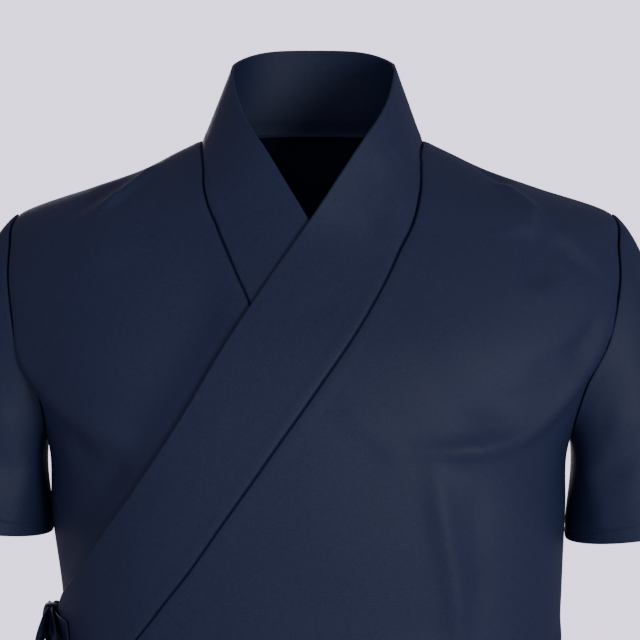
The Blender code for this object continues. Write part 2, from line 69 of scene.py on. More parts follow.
# Rings of the jacket's body
BODY_RINGS = np.array([
    # level side front back mid_x mid_y fill
    (0, 84, 46, 64, -1, 10, 0.000),
    (-10, 105, 53, 71, -1, 10, 0.000),
    (-24, 134, 61, 79, 0, 9, 0.000),
    (-38, 174, 69, 86, 0, 8, 0.005),
    (-58, 230, 80, 94, 1, 8, 0.010),
    (-82, 246, 94, 101, 0, 6, 0.015),
    (-112, 254, 108, 107, 0, 4, 0.020),
    (-150, 248, 123, 112, -1, 2, 0.025),
    (-190, 222, 132, 113, -2, 0, 0.030),
    (-235, 202.5, 136, 110, -4, -2, 0.035),
    (-290, 199.8, 135, 104, -4, -4, 0.035),
    (-350, 193.6, 130, 99, -3, -4, 0.035),
    (-420, 190, 126, 98, -1, -4, 0.035),
    (-500, 192, 126, 105, 0, -3, 0.030),
    (-600, 198, 128, 117, 0, -2, 0.025),
    (-700, 204, 131, 121, 0, -2, 0.020),
], float)

# Crosswise sections of the collar band, on the side that lies on top and on the one under it
BAND_OVER = np.array([
    # seam_turn seam_level edge_x edge_y edge_z lies
    (0.0, 0, 62.5, 14, 58, 0.0),
    (24.0, -4, 63.5, -2, 54, 0.0),
    (37.8, -10, 61.5, -19, 44, 0.0),
    (45.8, -17, 57.5, -34, 32, 0.0),
    (53.2, -25, 50, -48, 19, 0.0),
    (61.6, -36, 38, -61, 3, 0.0),
    (69.6, -51, 24, -72, -17, 0.0),
    (73.9, -68, 9, -82, -39, 0.0),
    (78.5, -100, -10, -94, -67, 0.4),
    (85.0, -150, -38, -107, -107, 1.0),
    (92.0, -197, -68, -115, -151, 1.0),
    (101.0, -249, -101, -113, -206, 1.0),
    (111.5, -304, -136, -98, -260, 1.0),
    (119.2, -336, -156, -84, -290, 1.0),
    (130.6, -375, -176, -62, -323, 1.0),
    (149.6, -417, -190, -35, -347, 1.0),
    (177.5, -455, -197, -10, -372, 1.0),
], float)
BAND_UNDER = np.array([
    # seam_turn seam_level edge_x edge_y edge_z lies
    (0.0, 0, 63.5, 14, 57, 0.0),
    (21.7, -4, 64, -2, 52, 0.0),
    (36.0, -10, 61.5, -19, 39, 0.0),
    (44.4, -17, 56, -34, 25, 0.0),
    (51.8, -25, 48, -47, 11, 0.0),
    (61.4, -37, 36, -59, -6, 0.0),
    (69.8, -53, 22, -70, -28, 0.0),
    (73.9, -70, 8, -80, -50, 0.0),
    (78.5, -103, -8, -93, -77, 0.5),
    (84.3, -154, -36, -106, -118, 1.0),
    (91.5, -202, -64, -113, -160, 1.0),
    (100.7, -252, -97, -112, -211, 1.0),
    (111.2, -306, -132, -98, -263, 1.0),
    (118.9, -338, -151, -84, -292, 1.0),
    (130.0, -374, -170, -64, -322, 1.0),
    (147.0, -410, -182, -44, -343, 1.0),
    (166.0, -438, -189, -34, -362, 1.0),
], float)
NECK_EDGE_HALF_WIDTH = 63.0
NECK_EDGE_MID_Y = 14.0
NECK_EDGE_DEPTH = 50.0
NECK_EDGE_SIDE_LEVEL = 57.5
NECK_EDGE_BACK_LEVEL = 66.0

# The body's broad folds, as the solids have them
BODY_FOLDS = np.array([
    # turn_a level_a turn_b level_b half_width height
    (36, -168, 60, -230, 24, 3.0),
    (64, -232, 62, -350, 26, 2.0),
    (144, -172, 128, -224, 24, 2.5),
    (140, -24, 128, -90, 20, 2.0),
    (22, -430, 24, -700, 34, 3.0),
    (56, -480, 58, -700, 34, 2.5),
    (122, -500, 120, -700, 34, 2.5),
    (156, -470, 154, -700, 34, 3.0),
    (204, -310, 206, -700, 34, 3.0),
    (236, -340, 238, -700, 34, 3.0),
    (270, -250, 270, -700, 36, 2.5),
    (304, -340, 302, -700, 34, 3.0),
    (336, -310, 334, -700, 34, 3.0),
], float)

# Drag lines and creases of the jacket's body, each along a smooth line through places given by
# turn and level: half width and crest in millimetres, and how much steeper one side is
BODY_CREASES = (
    # the front, as the photograph shows it
    (6, 4.0, 0.5, ((172, -12), (146, -35), (134, -60))),
    (9, -2.2, 0.0, ((170, -26), (152, -44), (140, -66))),
    (13, 4.4, 0.4, ((156, -130), (150, -180), (136, -208), (122, -217))),
    (14, -2.6, 0.0, ((152, -222), (138, -242), (126, -244))),
    (9, 3.6, -0.5, ((29, -120), (31, -160), (35, -190), (43, -213), (55.6, -221), (68, -222), (78, -216))),
    (12, -2.0, 0.0, ((33, -120), (37, -158), (44, -180), (54, -194), (66, -198))),
    (9, 3.2, 0.0, ((66, -218), (63.7, -276), (59.7, -340), (58, -410))),
    (9, -1.8, 0.0, ((58, -240), (55, -290), (52, -360))),
    (10, 1.0, 0.3, ((87, -185), (79, -207), (74, -225), (71, -246))),
    (5, -2.2, 0.0, ((7, -20), (20, -34))),
    (6, 2.8, 0.3, ((24, -30), (36, -46), (46, -60))),
    (14, -2.6, 0.2, ((47, -58), (48.5, -84), (49, -112))),
    (8, 1.5, 0.2, ((34, -56), (37, -74), (33, -90), (27, -98))),
    (10, -1.5, 0.2, ((43, -68), (37.5, -86), (29, -99))),
    (9, -1.6, 0.0, ((30, -120), (38, -150), (52, -170))),
    (4, 1.6, 0.0, ((24, -118), (25.5, -136), (26.5, -152))),
    # the front lower down
    (12, 2.2, 0.2, ((40, -480), (43, -590), (41, -700))),
    (10, 1.8, 0.0, ((88, -510), (86, -600), (90, -700))),
    (12, 2.1, -0.2, ((108, -470), (106, -590), (110, -700))),
    (9, 2.0, 0.3, ((4, -372), (22, -398), (46, -404))),
    (9, 1.7, 0.3, ((170, -478), (150, -492), (128, -486))),
    (9, -1.5, 0.0, ((6, -410), (26, -428), (42, -426))),
    # the back, drawn in the same manner
    (12, 2.8, 0.4, ((212, -150), (222, -200), (240, -232))),
    (12, 2.8, -0.4, ((328, -150), (318, -200), (300, -232))),
    (11, 2.2, 0.0, ((250, -230), (252, -330), (249, -430))),
    (11, 2.0, 0.0, ((292, -250), (289, -350), (291, -450))),
    (10, 2.2, 0.3, ((196, -330), (220, -352), (250, -358))),
    (10, 2.2, -0.3, ((344, -325), (320, -348), (292, -358))),
    (9, -1.7, 0.0, ((202, -365), (222, -384), (244, -386))),
    (9, -1.7, 0.0, ((338, -360), (316, -380), (296, -384))),
    (14, -1.5, 0.0, ((262, -80), (264, -170))),
    (9, 1.5, 0.2, ((226, -28), (244, -48))),
    (9, 1.5, -0.2, ((314, -28), (298, -48))),
    (12, 2.1, 0.0, ((222, -480), (224, -590), (222, -700))),
    (12, 2.1, 0.0, ((318, -480), (316, -590), (318, -700))),
)
# The same for the collar band on its top side, as (x, z) on its face
BAND_CREASES = (
    (5, 1.6, 0.4, ((56, 4), (66, -6), (80, -16))),
    (10, -1.7, 0.2, ((50, -6), (50, -34), (57, -72))),
    (8, 0.6, 0.0, ((62, -30), (60, -52), (50, -84))),
    (9, -0.7, 0.0, ((18, -110), (0, -120), (-12, -118))),
    (8, 0.7, 0.0, ((-60, -190), (-74, -200), (-92, -196))),
    (9, -0.9, 0.0, ((-118, -262), (-132, -258), (-140, -246))),
)
# The sleeves': turn round the sleeve (0 on top, 90 in front, 180 under the arm) and share of its way
SLEEVE_CREASES = (
    (12, -2.4, 0.3, ((52, 0.62), (90, 0.60), (132, 0.66))),
    (13, 1.7, 0.3, ((118, 0.28), (98, 0.48), (66, 0.60))),
    (12, 1.9, 0.0, ((142, 0.34), (128, 0.70), (120, 1.0))),
    (12, 1.9, 0.0, ((220, 0.34), (232, 0.70), (240, 1.0))),
    (11, -2.0, 0.2, ((236, 0.56), (268, 0.62), (300, 0.58))),
    (11, 1.9, -0.3, ((246, 0.26), (262, 0.46), (292, 0.56))),
    (13, 1.4, 0.0, ((20, 0.30), (28, 0.60), (22, 0.92))),
)
# The trousers': share of the way from outseam to inseam, and level
LEG_FOLDS = np.array([
    # share_a level_a share_b level_b half_width height
    (0.50, -760, 0.50, -1480, 26, 3.0),
    (0.86, -790, 0.52, -900, 34, 3.0),
    (0.10, -1130, 0.60, -1200, 34, 2.5),
], float)
LEG_CREASES = {
    1: (
        (10, 2.7, 0.3, ((0.98, -744), (0.76, -776), (0.50, -800))),
        (9, 2.0, 0.3, ((0.98, -768), (0.72, -816), (0.56, -846))),
        (9, 2.2, 0.3, ((0.06, -980), (0.30, -1002), (0.56, -996))),
        (9, -1.8, 0.0, ((0.34, -1036), (0.68, -1046), (0.94, -1032))),
        (9, 1.8, 0.2, ((0.30, -1090), (0.62, -1120), (0.92, -1116))),
        (12, 1.8, 0.0, ((0.30, -860), (0.34, -960), (0.28, -1080))),
        (9, 1.9, 0.3, ((0.02, -1420), (0.36, -1440), (0.76, -1432))),
        (11, 1.6, 0.0, ((0.74, -1180), (0.70, -1300), (0.74, -1460))),
    ),
    -1: (
        (11, 2.7, 0.3, ((0.98, -746), (0.70, -790), (0.40, -806))),
        (10, 2.2, 0.3, ((0.98, -780), (0.70, -836), (0.44, -862))),
        (10, 2.7, 0.3, ((0.04, -1000), (0.40, -1024), (0.84, -1012))),
        (9, -2.2, 0.0, ((0.10, -1046), (0.46, -1062), (0.88, -1050))),
        (10, 2.2, 0.2, ((0.12, -1084), (0.48, -1104), (0.90, -1090))),
        (12, 1.8, 0.0, ((0.40, -880), (0.36, -960), (0.42, -1060))),
        (9, 2.2, 0.3, ((0.06, -1404), (0.44, -1424), (0.90, -1412))),
        (9, -1.4, 0.0, ((0.10, -1444), (0.44, -1456), (0.84, -1450))),
    ),
}

CUFF_OUT = {"left": 253.6, "right": 261.5}
CUFF_MID_Y = 4.0
CUFF_LEVEL = {"left": -303.0, "right": -297.0}
CUFF_HALF_WIDTH = 57.0
CUFF_HALF_DEPTH = 64.0
CUFF_TILT = np.radians(8.0)
SLEEVE_START = 0.7
# The sleeve's length that the spacing of its rows is worked out for
SLEEVE_WAY = 200.0

WAIST_LEVEL = -430.0
WAISTBAND_HEIGHT = 38.0
CROTCH_LEVEL = -735.0
RISE_TOP_LEVEL = -640.0
RISE = RISE_TOP_LEVEL - CROTCH_LEVEL
LEG_HEM_LEVEL = -1490.0
CENTRE_GAP = 0.25
LEG_RINGS = np.array([
    # level mid_x mid_y side front back
    (-469, 98, 0, 92, 100, 104),
    (-600, 99, 2, 97, 104, 112),
    (-735, 101, 4, 98, 95, 101),
    (-850, 103, 2, 94, 90, 94),
    (-1000, 106, -3, 87, 81, 82),
    (-1150, 109, -4, 81, 75, 76),
    (-1300, 111, 1, 79, 72, 75),
    (-1430, 112, 7, 80, 71, 78),
    (-1490, 112, 9, 81, 71, 80),
], float)
HIP_RINGS = np.array([
    # level side front back mid_y
    (-430, 166, 92, 90, -2),
    (-469, 168, 96, 94, -2),
    (-540, 182, 106, 108, -2),
    (-600, 193, 110, 114, -2),
    (-660, 199.4, 110, 116, -1),
    (-735, 201, 106, 112, 0),
], float)

TIE_WIDTH = 20.0
TIE_CLOTH = 1.6
KNOT_CENTRE = (-206.0, -6.0, -374.0)
KNOT_SIZE = (13.0, 21.0, 24.0)
LOOP_LENGTH = 62.0
LOOP_BULGE = 11.0
LOOP_DROOP = np.radians(62.0)
TAIL_LENGTH = 150.0

# The turned hems' depths, and the walls of the folded pieces
JACKET_HEM = 18.0
CUFF_HEM = 16.0
LEG_HEM = 25.0
WAISTBAND_WALL = 2.2
WAISTBAND_STITCHES = (6, 32)
RIBBON_WALL = 1.4

# How deep the underlap is drawn in beside the overlap's edge, and the rows of BAND_OVER there
UNDER_DEPTH = 7.5
UNDER_DRAWN_ROWS = (9, 15.6)
# The column of a front, counted from its free edge, that the edge's stitches follow
EDGE_COLUMN = -9

# How far a surface may lie off a line along its own normal and still count as on it
LINE_REACH = 8.0
JACKET_CREASE_SCALE = 1.3

CAMERA_PLACE = (0.00464, -2.8, 0.17)
CAMERA_DOWN = 6.3176
CAMERA_LENS = 203.7
BACKDROP_SEEN = 2.35
FLOOR_RADIUS = 3.2

# Distances from a seam, in millimetres, at which columns of places run beside it
BESIDE_SEAM = np.array([0, 0.4, 0.8, 1.2, 1.7, 2.4, 3.4, 5.0, 7.5])
# The size that the seams' column spacing is worked out for
TYPICAL_WIDTH = 300.0


# ---------------------------------------------------------------- curves and grids

def smooth_rows(table, at):
    """Values between a table's rows, on a Catmull-Rom curve through them; at counts rows."""
    at = np.clip(np.asarray(at, float), 0, len(table) - 1)
    padded = np.vstack([2 * table[0] - table[1], table, 2 * table[-1] - table[-2]])
    first = np.minimum(at.astype(int), len(table) - 2)
    f = (at - first)[..., None]
    a, b, c, d = (padded[first + k] for k in range(4))
    squared, cubed = 2 * a - 5 * b + 4 * c - d, 3 * b - a - 3 * c + d
    return 0.5 * (2 * b + (c - a) * f + squared * f**2 + cubed * f**3)


def row_of(table, level):
    """The place between a table's rows where its first column, the level, has this value."""
    rows = np.linspace(0, len(table) - 1, 40 * len(table))
    return np.interp(-np.asarray(level, float), -smooth_rows(table, rows)[:, 0], rows)


def step(value):
    """0 below 0, 1 above 1, and an even S between: 3v^2 - 2v^3."""
    value = np.clip(value, 0, 1)
    return value * value * (3 - 2 * value)


def bell(distance, width):
    """exp(-(distance / width)^2): 1 at 0, and nearly 0 from twice the width on."""
    return np.exp(-((distance / width) ** 2))


def columns_at(table, level):
    """The values of a table's columns after its first, the level, at this level."""
    return np.moveaxis(smooth_rows(table, row_of(table, level)), -1, 0)[1:]


def unit(vectors):
    return vectors / np.maximum(np.linalg.norm(vectors, axis=-1, keepdims=True), 1e-9)


def shares(count, width=TYPICAL_WIDTH):
    """Shares from 0 to 1: close together beside both seams, and evenly spaced between them."""
    edge = BESIDE_SEAM / width
    return np.concatenate([edge, np.linspace(edge[-1], 1 - edge[-1], count)[1:-1], 1 - edge[::-1]])


def grid_out(points, tube, outward):
    """Unit normals of a grid: its two neighbour differences crossed, turned to point outward."""
    if tube:
        across = np.roll(points, -1, 1) - np.roll(points, 1, 1)
    else:
        across = np.gradient(points, axis=1)
    out = unit(np.cross(across, np.gradient(points, axis=0)))
    return out if (out * outward).sum() > 0 else -out


def line_distance(places, line, out):
    """(signed distance, share of the way) from each place to the nearest stretch of a line.

    Each stretch's nearest place is its start plus the clipped projection. Up to LINE_REACH along
    the surface's own normal doesn't count. The sign tells the side, seen against out.
    """
    flat = places.reshape(-1, 3)
    start, run = line[:-1], np.diff(line, axis=0)
    length = np.maximum((run**2).sum(-1), 1e-9)
    way = np.clip(((flat[:, None] - start) * run).sum(-1) / length, 0, 1)
    apart = flat[:, None] - start - way[..., None] * run
    normal = out.reshape(-1, 1, 3)
    apart -= np.clip((apart * normal).sum(-1, keepdims=True), -LINE_REACH, LINE_REACH) * normal
    far = np.linalg.norm(apart, axis=-1)
    best = far.argmin(1)
    pick = np.arange(len(flat))
    side = np.sign((np.cross(run[best], out.reshape(-1, 3)) * apart[pick, best]).sum(-1))
    cumulative = np.concatenate([[0], np.cumsum(np.sqrt(length))])
    share = (cumulative[best] + way[pick, best] * np.sqrt(length[best])) / cumulative[-1]
    return (far[pick, best] * side).reshape(places.shape[:-1]), share.reshape(places.shape[:-1])


def crease_height(creases, place_of, places, out):
    """The height that creases add, in mm.

    Across a crease it is crest * exp(-u^2) * (1 + lean * u), with u the distance to its line over
    its half width, and it fades over the first and last three tenths of its length.
    """
    height = np.zeros(places.shape[:-1])
    for half_width, crest, lean, through in creases:
        through = np.array(through, float)
        line = place_of(*smooth_rows(through, np.linspace(0, len(through) - 1, 16)).T)
        low, high = line.min(0) - 3 * half_width, line.max(0) + 3 * half_width
        near = ((places > low) & (places < high)).all(-1)
        if not near.any():
            continue
        away, share = line_distance(places[near], line, out[near])
        u = away / half_width
        fade = step(share / 0.3) * step((1 - share) / 0.3)
        height[near] += crest * np.exp(-u * u) * (1 + lean * u) * fade
    return height


def unevenness(places, size):
    """A slow swell of the cloth: three crossed sine waves 70 to 190 mm long, at most size high."""
    x, y, z = np.moveaxis(places, -1, 0)
    waves = (x / 17 + z / 41 + 0.8, z / 23 - x / 37 + y / 29 + 2.1, y / 19 - z / 31 + 4.0)
    return size * sum(np.sin(wave) for wave in waves) / 3


def seam_dip(distance, depth, width=1.0):
    """How a seam draws the cloth in beside its stitching, and the allowance behind lifts it:
    -depth * exp(-(d / width)^2) + 0.12 * depth * exp(-((d - 6) / 4)^2)."""
    return depth * (0.12 * bell(distance - 6, 4) - bell(distance, width))


def hem_height(from_edge, depth, soft=1.2, groove=0.9):
    """A turned hem: 0.45 mm thicker below its stitching, with a groove 0.35 mm deep along it."""
    return 0.45 * step((depth - from_edge) / soft) - 0.35 * bell(from_edge - depth, groove)


def hem_wall(wall, from_edge, depth, soft=1.2):
    """The cloth's thickness, doubled where the hem is turned up."""
    return wall * (1 + step((depth - from_edge) / soft))


# ---------------------------------------------------------------- the jacket's form

def fold_height(folds, across, level, across_mm):
    """The height of broad folds: crest * exp(-(aside / half_width)^2), fading at both ends."""
    height = np.zeros(np.broadcast(across, level).shape)
    for across_a, level_a, across_b, level_b, half_width, crest in folds:
        line = np.array([(across_b - across_a) * across_mm, level_b - level_a])
        length = np.hypot(*line)
        way = ((across - across_a) * across_mm * line[0] + (level - level_a) * line[1]) / length**2
        aside = ((across - across_a) * across_mm * line[1] - (level - level_a) * line[0]) / length
        ends = step(way / 0.25 + 0.5) * step((1 - way) / 0.25 + 0.5)
        height += crest * bell(aside, half_width) * ends
    return height


def bare_body(turn, row):
    """A place on the body's filled oval ring at this turn, between its tables' rows."""
    turn, row = np.broadcast_arrays(turn, row)
    level, side, front, back, mid_x, mid_y, fill = np.moveaxis(smooth_rows(BODY_RINGS, row), -1, 0)
    angle = np.radians(turn)
    across = (np.cos(angle) - fill * np.cos(3 * angle)) / (1 - fill)
    forward = (np.sin(angle) + fill * np.sin(3 * angle)) / (1 - fill)
    depth = np.where(forward > 0, front, back)
    return np.stack([mid_x + side * across, mid_y - depth * forward, level], -1)


def body_out(turn, row):
    """The outward direction of the body's rings."""
    rows = np.clip(row, 0.02, len(BODY_RINGS) - 1.02)
    round_it = bare_body(turn + 0.5, rows) - bare_body(turn - 0.5, rows)
    down_it = bare_body(turn, rows + 0.02) - bare_body(turn, rows - 0.02)
    return unit(np.cross(round_it, down_it))


def body(turn, row, lift):
    """A place on the body with its broad folds, lifted off it along its own outward direction."""
    turn, row = np.broadcast_arrays(np.asarray(turn, float), np.asarray(row, float))
    place = bare_body(turn, row)
    level = place[..., 2]
    folds = fold_height(BODY_FOLDS, turn, level, 2.5) * step((SHOULDER_LEVEL / 4 - level) / 30)
    return place + body_out(turn, row) * (np.asarray(lift) + folds)[..., None]


def on_body(turn, level):
    return bare_body(turn, row_of(BODY_RINGS, level))


def turn_at(x, level):
    """The turn at which the front of the body's ring at this level comes to this x."""
    turns = np.linspace(0, OVERLAP_TURN, 400)
    rings = bare_body(turns[None, :], row_of(BODY_RINGS, level)[:, None])[..., 0]
    return np.array([np.interp(-here, -ring, turns) for here, ring in zip(x, rings)])


def armhole(angle):
    """(turn, level) of the left armhole's edge; angle is 0 at the shoulder, 90 in front."""
    angle = np.radians(angle)
    most = np.where(np.sin(angle) > 0, ARMHOLE_FRONT_TURN, ARMHOLE_BACK_TURN)
    share = (1 + np.cos(angle)) / 2
    return most * np.sin(angle), ARMPIT_LEVEL + (SHOULDER_LEVEL - ARMPIT_LEVEL) * share


def panel_levels(top):
    """Levels of the rows across a front or the back, closest beside the armpit and at the hem."""
    return np.concatenate([
        HEM_LEVEL + np.array([0, 0.6, 1.5, 3, 6, 10, 14, 16.5, 17.4, 18, 18.6, 19.5, 22]),
        np.linspace(HEM_LEVEL + 25, BAND_END_LEVEL, 52),
        np.linspace(BAND_END_LEVEL, ARMPIT_LEVEL - 1.5, 52)[1:],
        [ARMPIT_LEVEL - 0.4],
        armhole(np.linspace(180, 0, 73))[1],
        np.linspace(SHOULDER_LEVEL, -3, 30)[1:],
        [top],
    ])


def armhole_turn(levels, angle_sign):
    """How far the armhole's edge lies from the side seam's line at each level, in degrees."""
    share = np.clip((levels - ARMPIT_LEVEL) / (SHOULDER_LEVEL - ARMPIT_LEVEL), 0, 1)
    angles = np.degrees(np.arccos(2 * share - 1))
    return np.abs(armhole(angle_sign * angles)[0])


def band_at(band, levels):
    """The places between a band table's rows where its seam comes to these levels."""
    at = np.linspace(0, len(band) - 1, 40 * len(band))
    return np.interp(-levels, -smooth_rows(band, at)[:, 1], at)


def over_lift(turn, row, mirrored):
    """How far a front lies out: only the overlapping one does, over the underlap and its band."""
    if mirrored:
        return 0.0
    x, _, level = np.moveaxis(bare_body(turn, row), -1, 0)
    edge_level = np.interp(x, -BAND_UNDER[2:, 2], BAND_UNDER[2:, 4])
    return OVER_LIFT * step((edge_level + 82 - level) / 74) * step(turn / 11)


def dressed(points, level, out, seams):
    """A jacket panel's places with creases, swell, hem and seams, each (line, depth, width, keep)."""
    creases = JACKET_CREASE_SCALE * crease_height(BODY_CREASES, on_body, points, out)
    height = creases * step((-8 - level) / 20)
    height += unevenness(points, 0.55) * step((-20 - level) / 30)
    height += hem_height(level - HEM_LEVEL, JACKET_HEM)
    for line, depth, width, keep in seams:
        away, _ = line_distance(points, line, out)
        height += seam_dip(np.abs(away), depth, width) * keep
    return points + out * height[..., None]


def front_panel(band, mirrored):
    """One front's grid, out directions and levels, from side seam and armhole to its free edge."""
    levels = panel_levels(FRONT_TOP_LEVEL)
    share = shares(96)
    edge_turn = smooth_rows(band, band_at(band, levels))[:, 0]
    # cubed, so that the columns swerve round the armhole only near it
    turn = (1 - share) ** 3 * armhole_turn(levels, 1)[:, None] + share * edge_turn[:, None]
    row = np.broadcast_to(row_of(BODY_RINGS, levels)[:, None], turn.shape)
    lift = over_lift(turn, row, mirrored)
    if mirrored:
        turn = 180 - turn
    points = body(turn, row, lift)
    out = body_out(turn, row)
    level = np.broadcast_to(levels[:, None], turn.shape)
    sewn = step((level - BAND_END_LEVEL) / 12)
    seams = (
        (points[::2, 0], 0.9, 0.8, 1.0),
        (points[::2, -1], 2.2, 0.8, sewn),
    )
    if mirrored:
        # the underlap is drawn in to both sides of the line of the overlap's free edge, by
        # UNDER_DEPTH * (1 - bell(d, 20)) * bell(d, 60), and not at the shoulder or at its own sides
        over = smooth_rows(BAND_OVER, np.linspace(*UNDER_DRAWN_ROWS, 60))
        line = on_body(turn_at(over[:, 2], over[:, 4]), over[:, 4])
        away, _ = line_distance(points, line, out)
        drawn_in = UNDER_DEPTH * (1 - bell(away, 20)) * bell(away, 60)
        drawn_in *= step((SHOULDER_LEVEL - 2 - level) / 60) * step((1 - share) * 9) * step(share * 4)
        points = points - out * drawn_in[..., None]
    return dressed(points, level, out, seams), out, level


def back_panel():
    """The back's grid, out directions and levels, between side seams, armholes and neckline."""
    levels = panel_levels(0.0)
    share = shares(84, 400)
    inset = armhole_turn(levels, -1)[:, None]
    turn = 180 + 180 * share + inset * ((1 - share) ** 5 - share ** 5)
    row = np.broadcast_to(row_of(BODY_RINGS, levels)[:, None], turn.shape)
    points, out = body(turn, row, 0.0), body_out(turn, row)
    level = np.broadcast_to(levels[:, None], turn.shape)
    seams = (
        (points[::2, 0], 0.9, 0.8, 1.0),
        (points[::2, -1], 0.9, 0.8, 1.0),
        (points[-1], 1.2, 1.0, 1.0),
    )
    return dressed(points, level, out, seams), out, level


def band_side(band, mirrored, levels, share):
    """One side of the band's outer face: straight from seam to edge where it stands off the neck,
    and laid on the body, lift above it, where lies is 1."""
    at = band_at(band, levels)
    seam_turn, seam_level, edge_x, edge_y, edge_z, lies = smooth_rows(band, at).T
    lies = np.clip(lies, 0, 1)[:, None]
    seam_row = row_of(BODY_RINGS, np.minimum(seam_level, 0))
    edge_row = row_of(BODY_RINGS, np.minimum(edge_z, 0))
    edge_turn = turn_at(edge_x, np.minimum(edge_z, 0))
    if mirrored:
        seam_turn, edge_turn, edge_x = 180 - seam_turn, 180 - edge_turn, -edge_x
    share = share[None, :, None]
    turns = seam_turn[:, None] + (edge_turn - seam_turn)[:, None] * share[..., 0]
    rows = seam_row[:, None] + (edge_row - seam_row)[:, None] * share[..., 0]
    lift = over_lift(turns, rows, mirrored) + BAND_LIFT - NECK_SINK
    lift = NECK_SINK + lift * step((at[:, None] - 2) / 5)
    laid = body(turns, rows, lift)
    first, last = laid[:, :1], laid[:, -1:]
    edge = (1 - lies) * np.stack([edge_x, edge_y, edge_z], -1) + lies * last[:, 0]
    straight = (1 - share) * first + share * edge[:, None]
    return straight + lies[:, None] * (laid - (1 - share) * first - share * last)


def band_levels(band):
    """Levels of the rows along one side of the band, from the shoulder point to its end."""
    top = np.array([0, -0.7, -1.4, -2.2, -3, -4.2, -5.5, -7, -9, -11, -13.5, -16])
    return np.concatenate([top, np.linspace(-19, band[-1, 1], 120)])


def collar_band():
    """The whole band's grid: up the underlap, round the neck, and down the overlap."""
    share = shares(34, 66)
    under = band_side(BAND_UNDER, True, band_levels(BAND_UNDER), share)[::-1]
    over = band_side(BAND_OVER, False, band_levels(BAND_OVER), share)
    turns = np.linspace(180, 360, 73)[1:-1]
    seam = body(turns, np.zeros(len(turns)), NECK_SINK)
    angle = np.radians(turns)
    rise = (NECK_EDGE_BACK_LEVEL - NECK_EDGE_SIDE_LEVEL) * (1 - np.cos(angle) ** 4)
    edge = np.stack([
        NECK_EDGE_HALF_WIDTH * np.cos(angle),
        NECK_EDGE_MID_Y + NECK_EDGE_DEPTH * np.abs(np.sin(angle)) ** 0.8,
        NECK_EDGE_SIDE_LEVEL + rise,
    ], -1)
    across = share[None, :, None]
    neck = (1 - across) * seam[:, None] + across * edge[:, None]
    return np.concatenate([under, neck, over])


def sleeve(side):
    """A sleeve's grid: a cubic from each place of the armhole to its place on the cuff's oval."""
    outward = 1 if side == "left" else -1
    angles = np.linspace(0, 360, 145)[:-1]
    turns, levels = armhole(angles)
    if side == "right":
        turns = 180 - turns
    start = body(turns, row_of(BODY_RINGS, levels), 0.0)
    start[:, 0] += outward * SLEEVE_START
    angle = np.radians(angles)
    cuff = np.stack([
        CUFF_OUT[side] + CUFF_HALF_WIDTH * np.cos(angle) * np.cos(CUFF_TILT),
        CUFF_MID_Y - CUFF_HALF_DEPTH * np.sin(angle),
        CUFF_LEVEL[side] + CUFF_HALF_WIDTH * np.cos(angle) * np.sin(CUFF_TILT),
    ], -1)
    cuff[:, 0] *= outward
    high = ((1 + np.cos(angle)) / 2)[:, None]
    leave = high * np.array([66, 0, -12]) + (1 - high) * np.array([20, 0, -52])
    leave[:, 0] = (leave[:, 0] + 34 * np.sin(angle) ** 2) * outward
    reach = np.linalg.norm(cuff - start, axis=1)[:, None]
    arrive = np.array([0.12 * outward, 0, -0.99]) * reach * 0.95
    near = np.array([0, 0.4, 0.8, 1.2, 1.7, 2.4, 3.4, 5.0]) / SLEEVE_WAY
    hem = 1 - np.array([22, 19.5, 17.6, 16.8, 16, 15.2, 14.4, 12, 8, 4, 1.5, 0]) / SLEEVE_WAY
    s = np.concatenate([near, np.linspace(near[-1], hem[0], 60)[1:-1], hem])[:, None, None]
    points = (
        (2 * s**3 - 3 * s**2 + 1) * start
        + (s**3 - 2 * s**2 + s) * leave
        + (3 * s**2 - 2 * s**3) * cuff
        + (s**3 - s**2) * arrive
    )
    middle = np.array([outward * CUFF_OUT[side] * 0.95, CUFF_MID_Y, -180])
    out = grid_out(points, True, points - middle)
    share = s[:, 0, 0]

    def on_sleeve(turn, at_share):
        row = np.interp(at_share, share, np.arange(len(share)))
        column = np.asarray(turn) / 360 * len(angles)
        return points[np.round(row).astype(int), np.round(column).astype(int) % len(angles)]

    way = share[:, None] + 0 * angles
    height = crease_height(SLEEVE_CREASES, on_sleeve, points, out)
    height += unevenness(points, 0.5) * step(way / 0.15)
    height += seam_dip(way * SLEEVE_WAY, 0.9, 0.8)
    height += hem_height((1 - way) * SLEEVE_WAY, CUFF_HEM)
    # the seam under the arm: 1.05 mm of cloth a degree
    under = np.abs(angles - 180) * 1.05
    height -= 0.9 * bell(under, 1.3)
    return points + out * height[..., None], out


# ---------------------------------------------------------------- the trousers' form

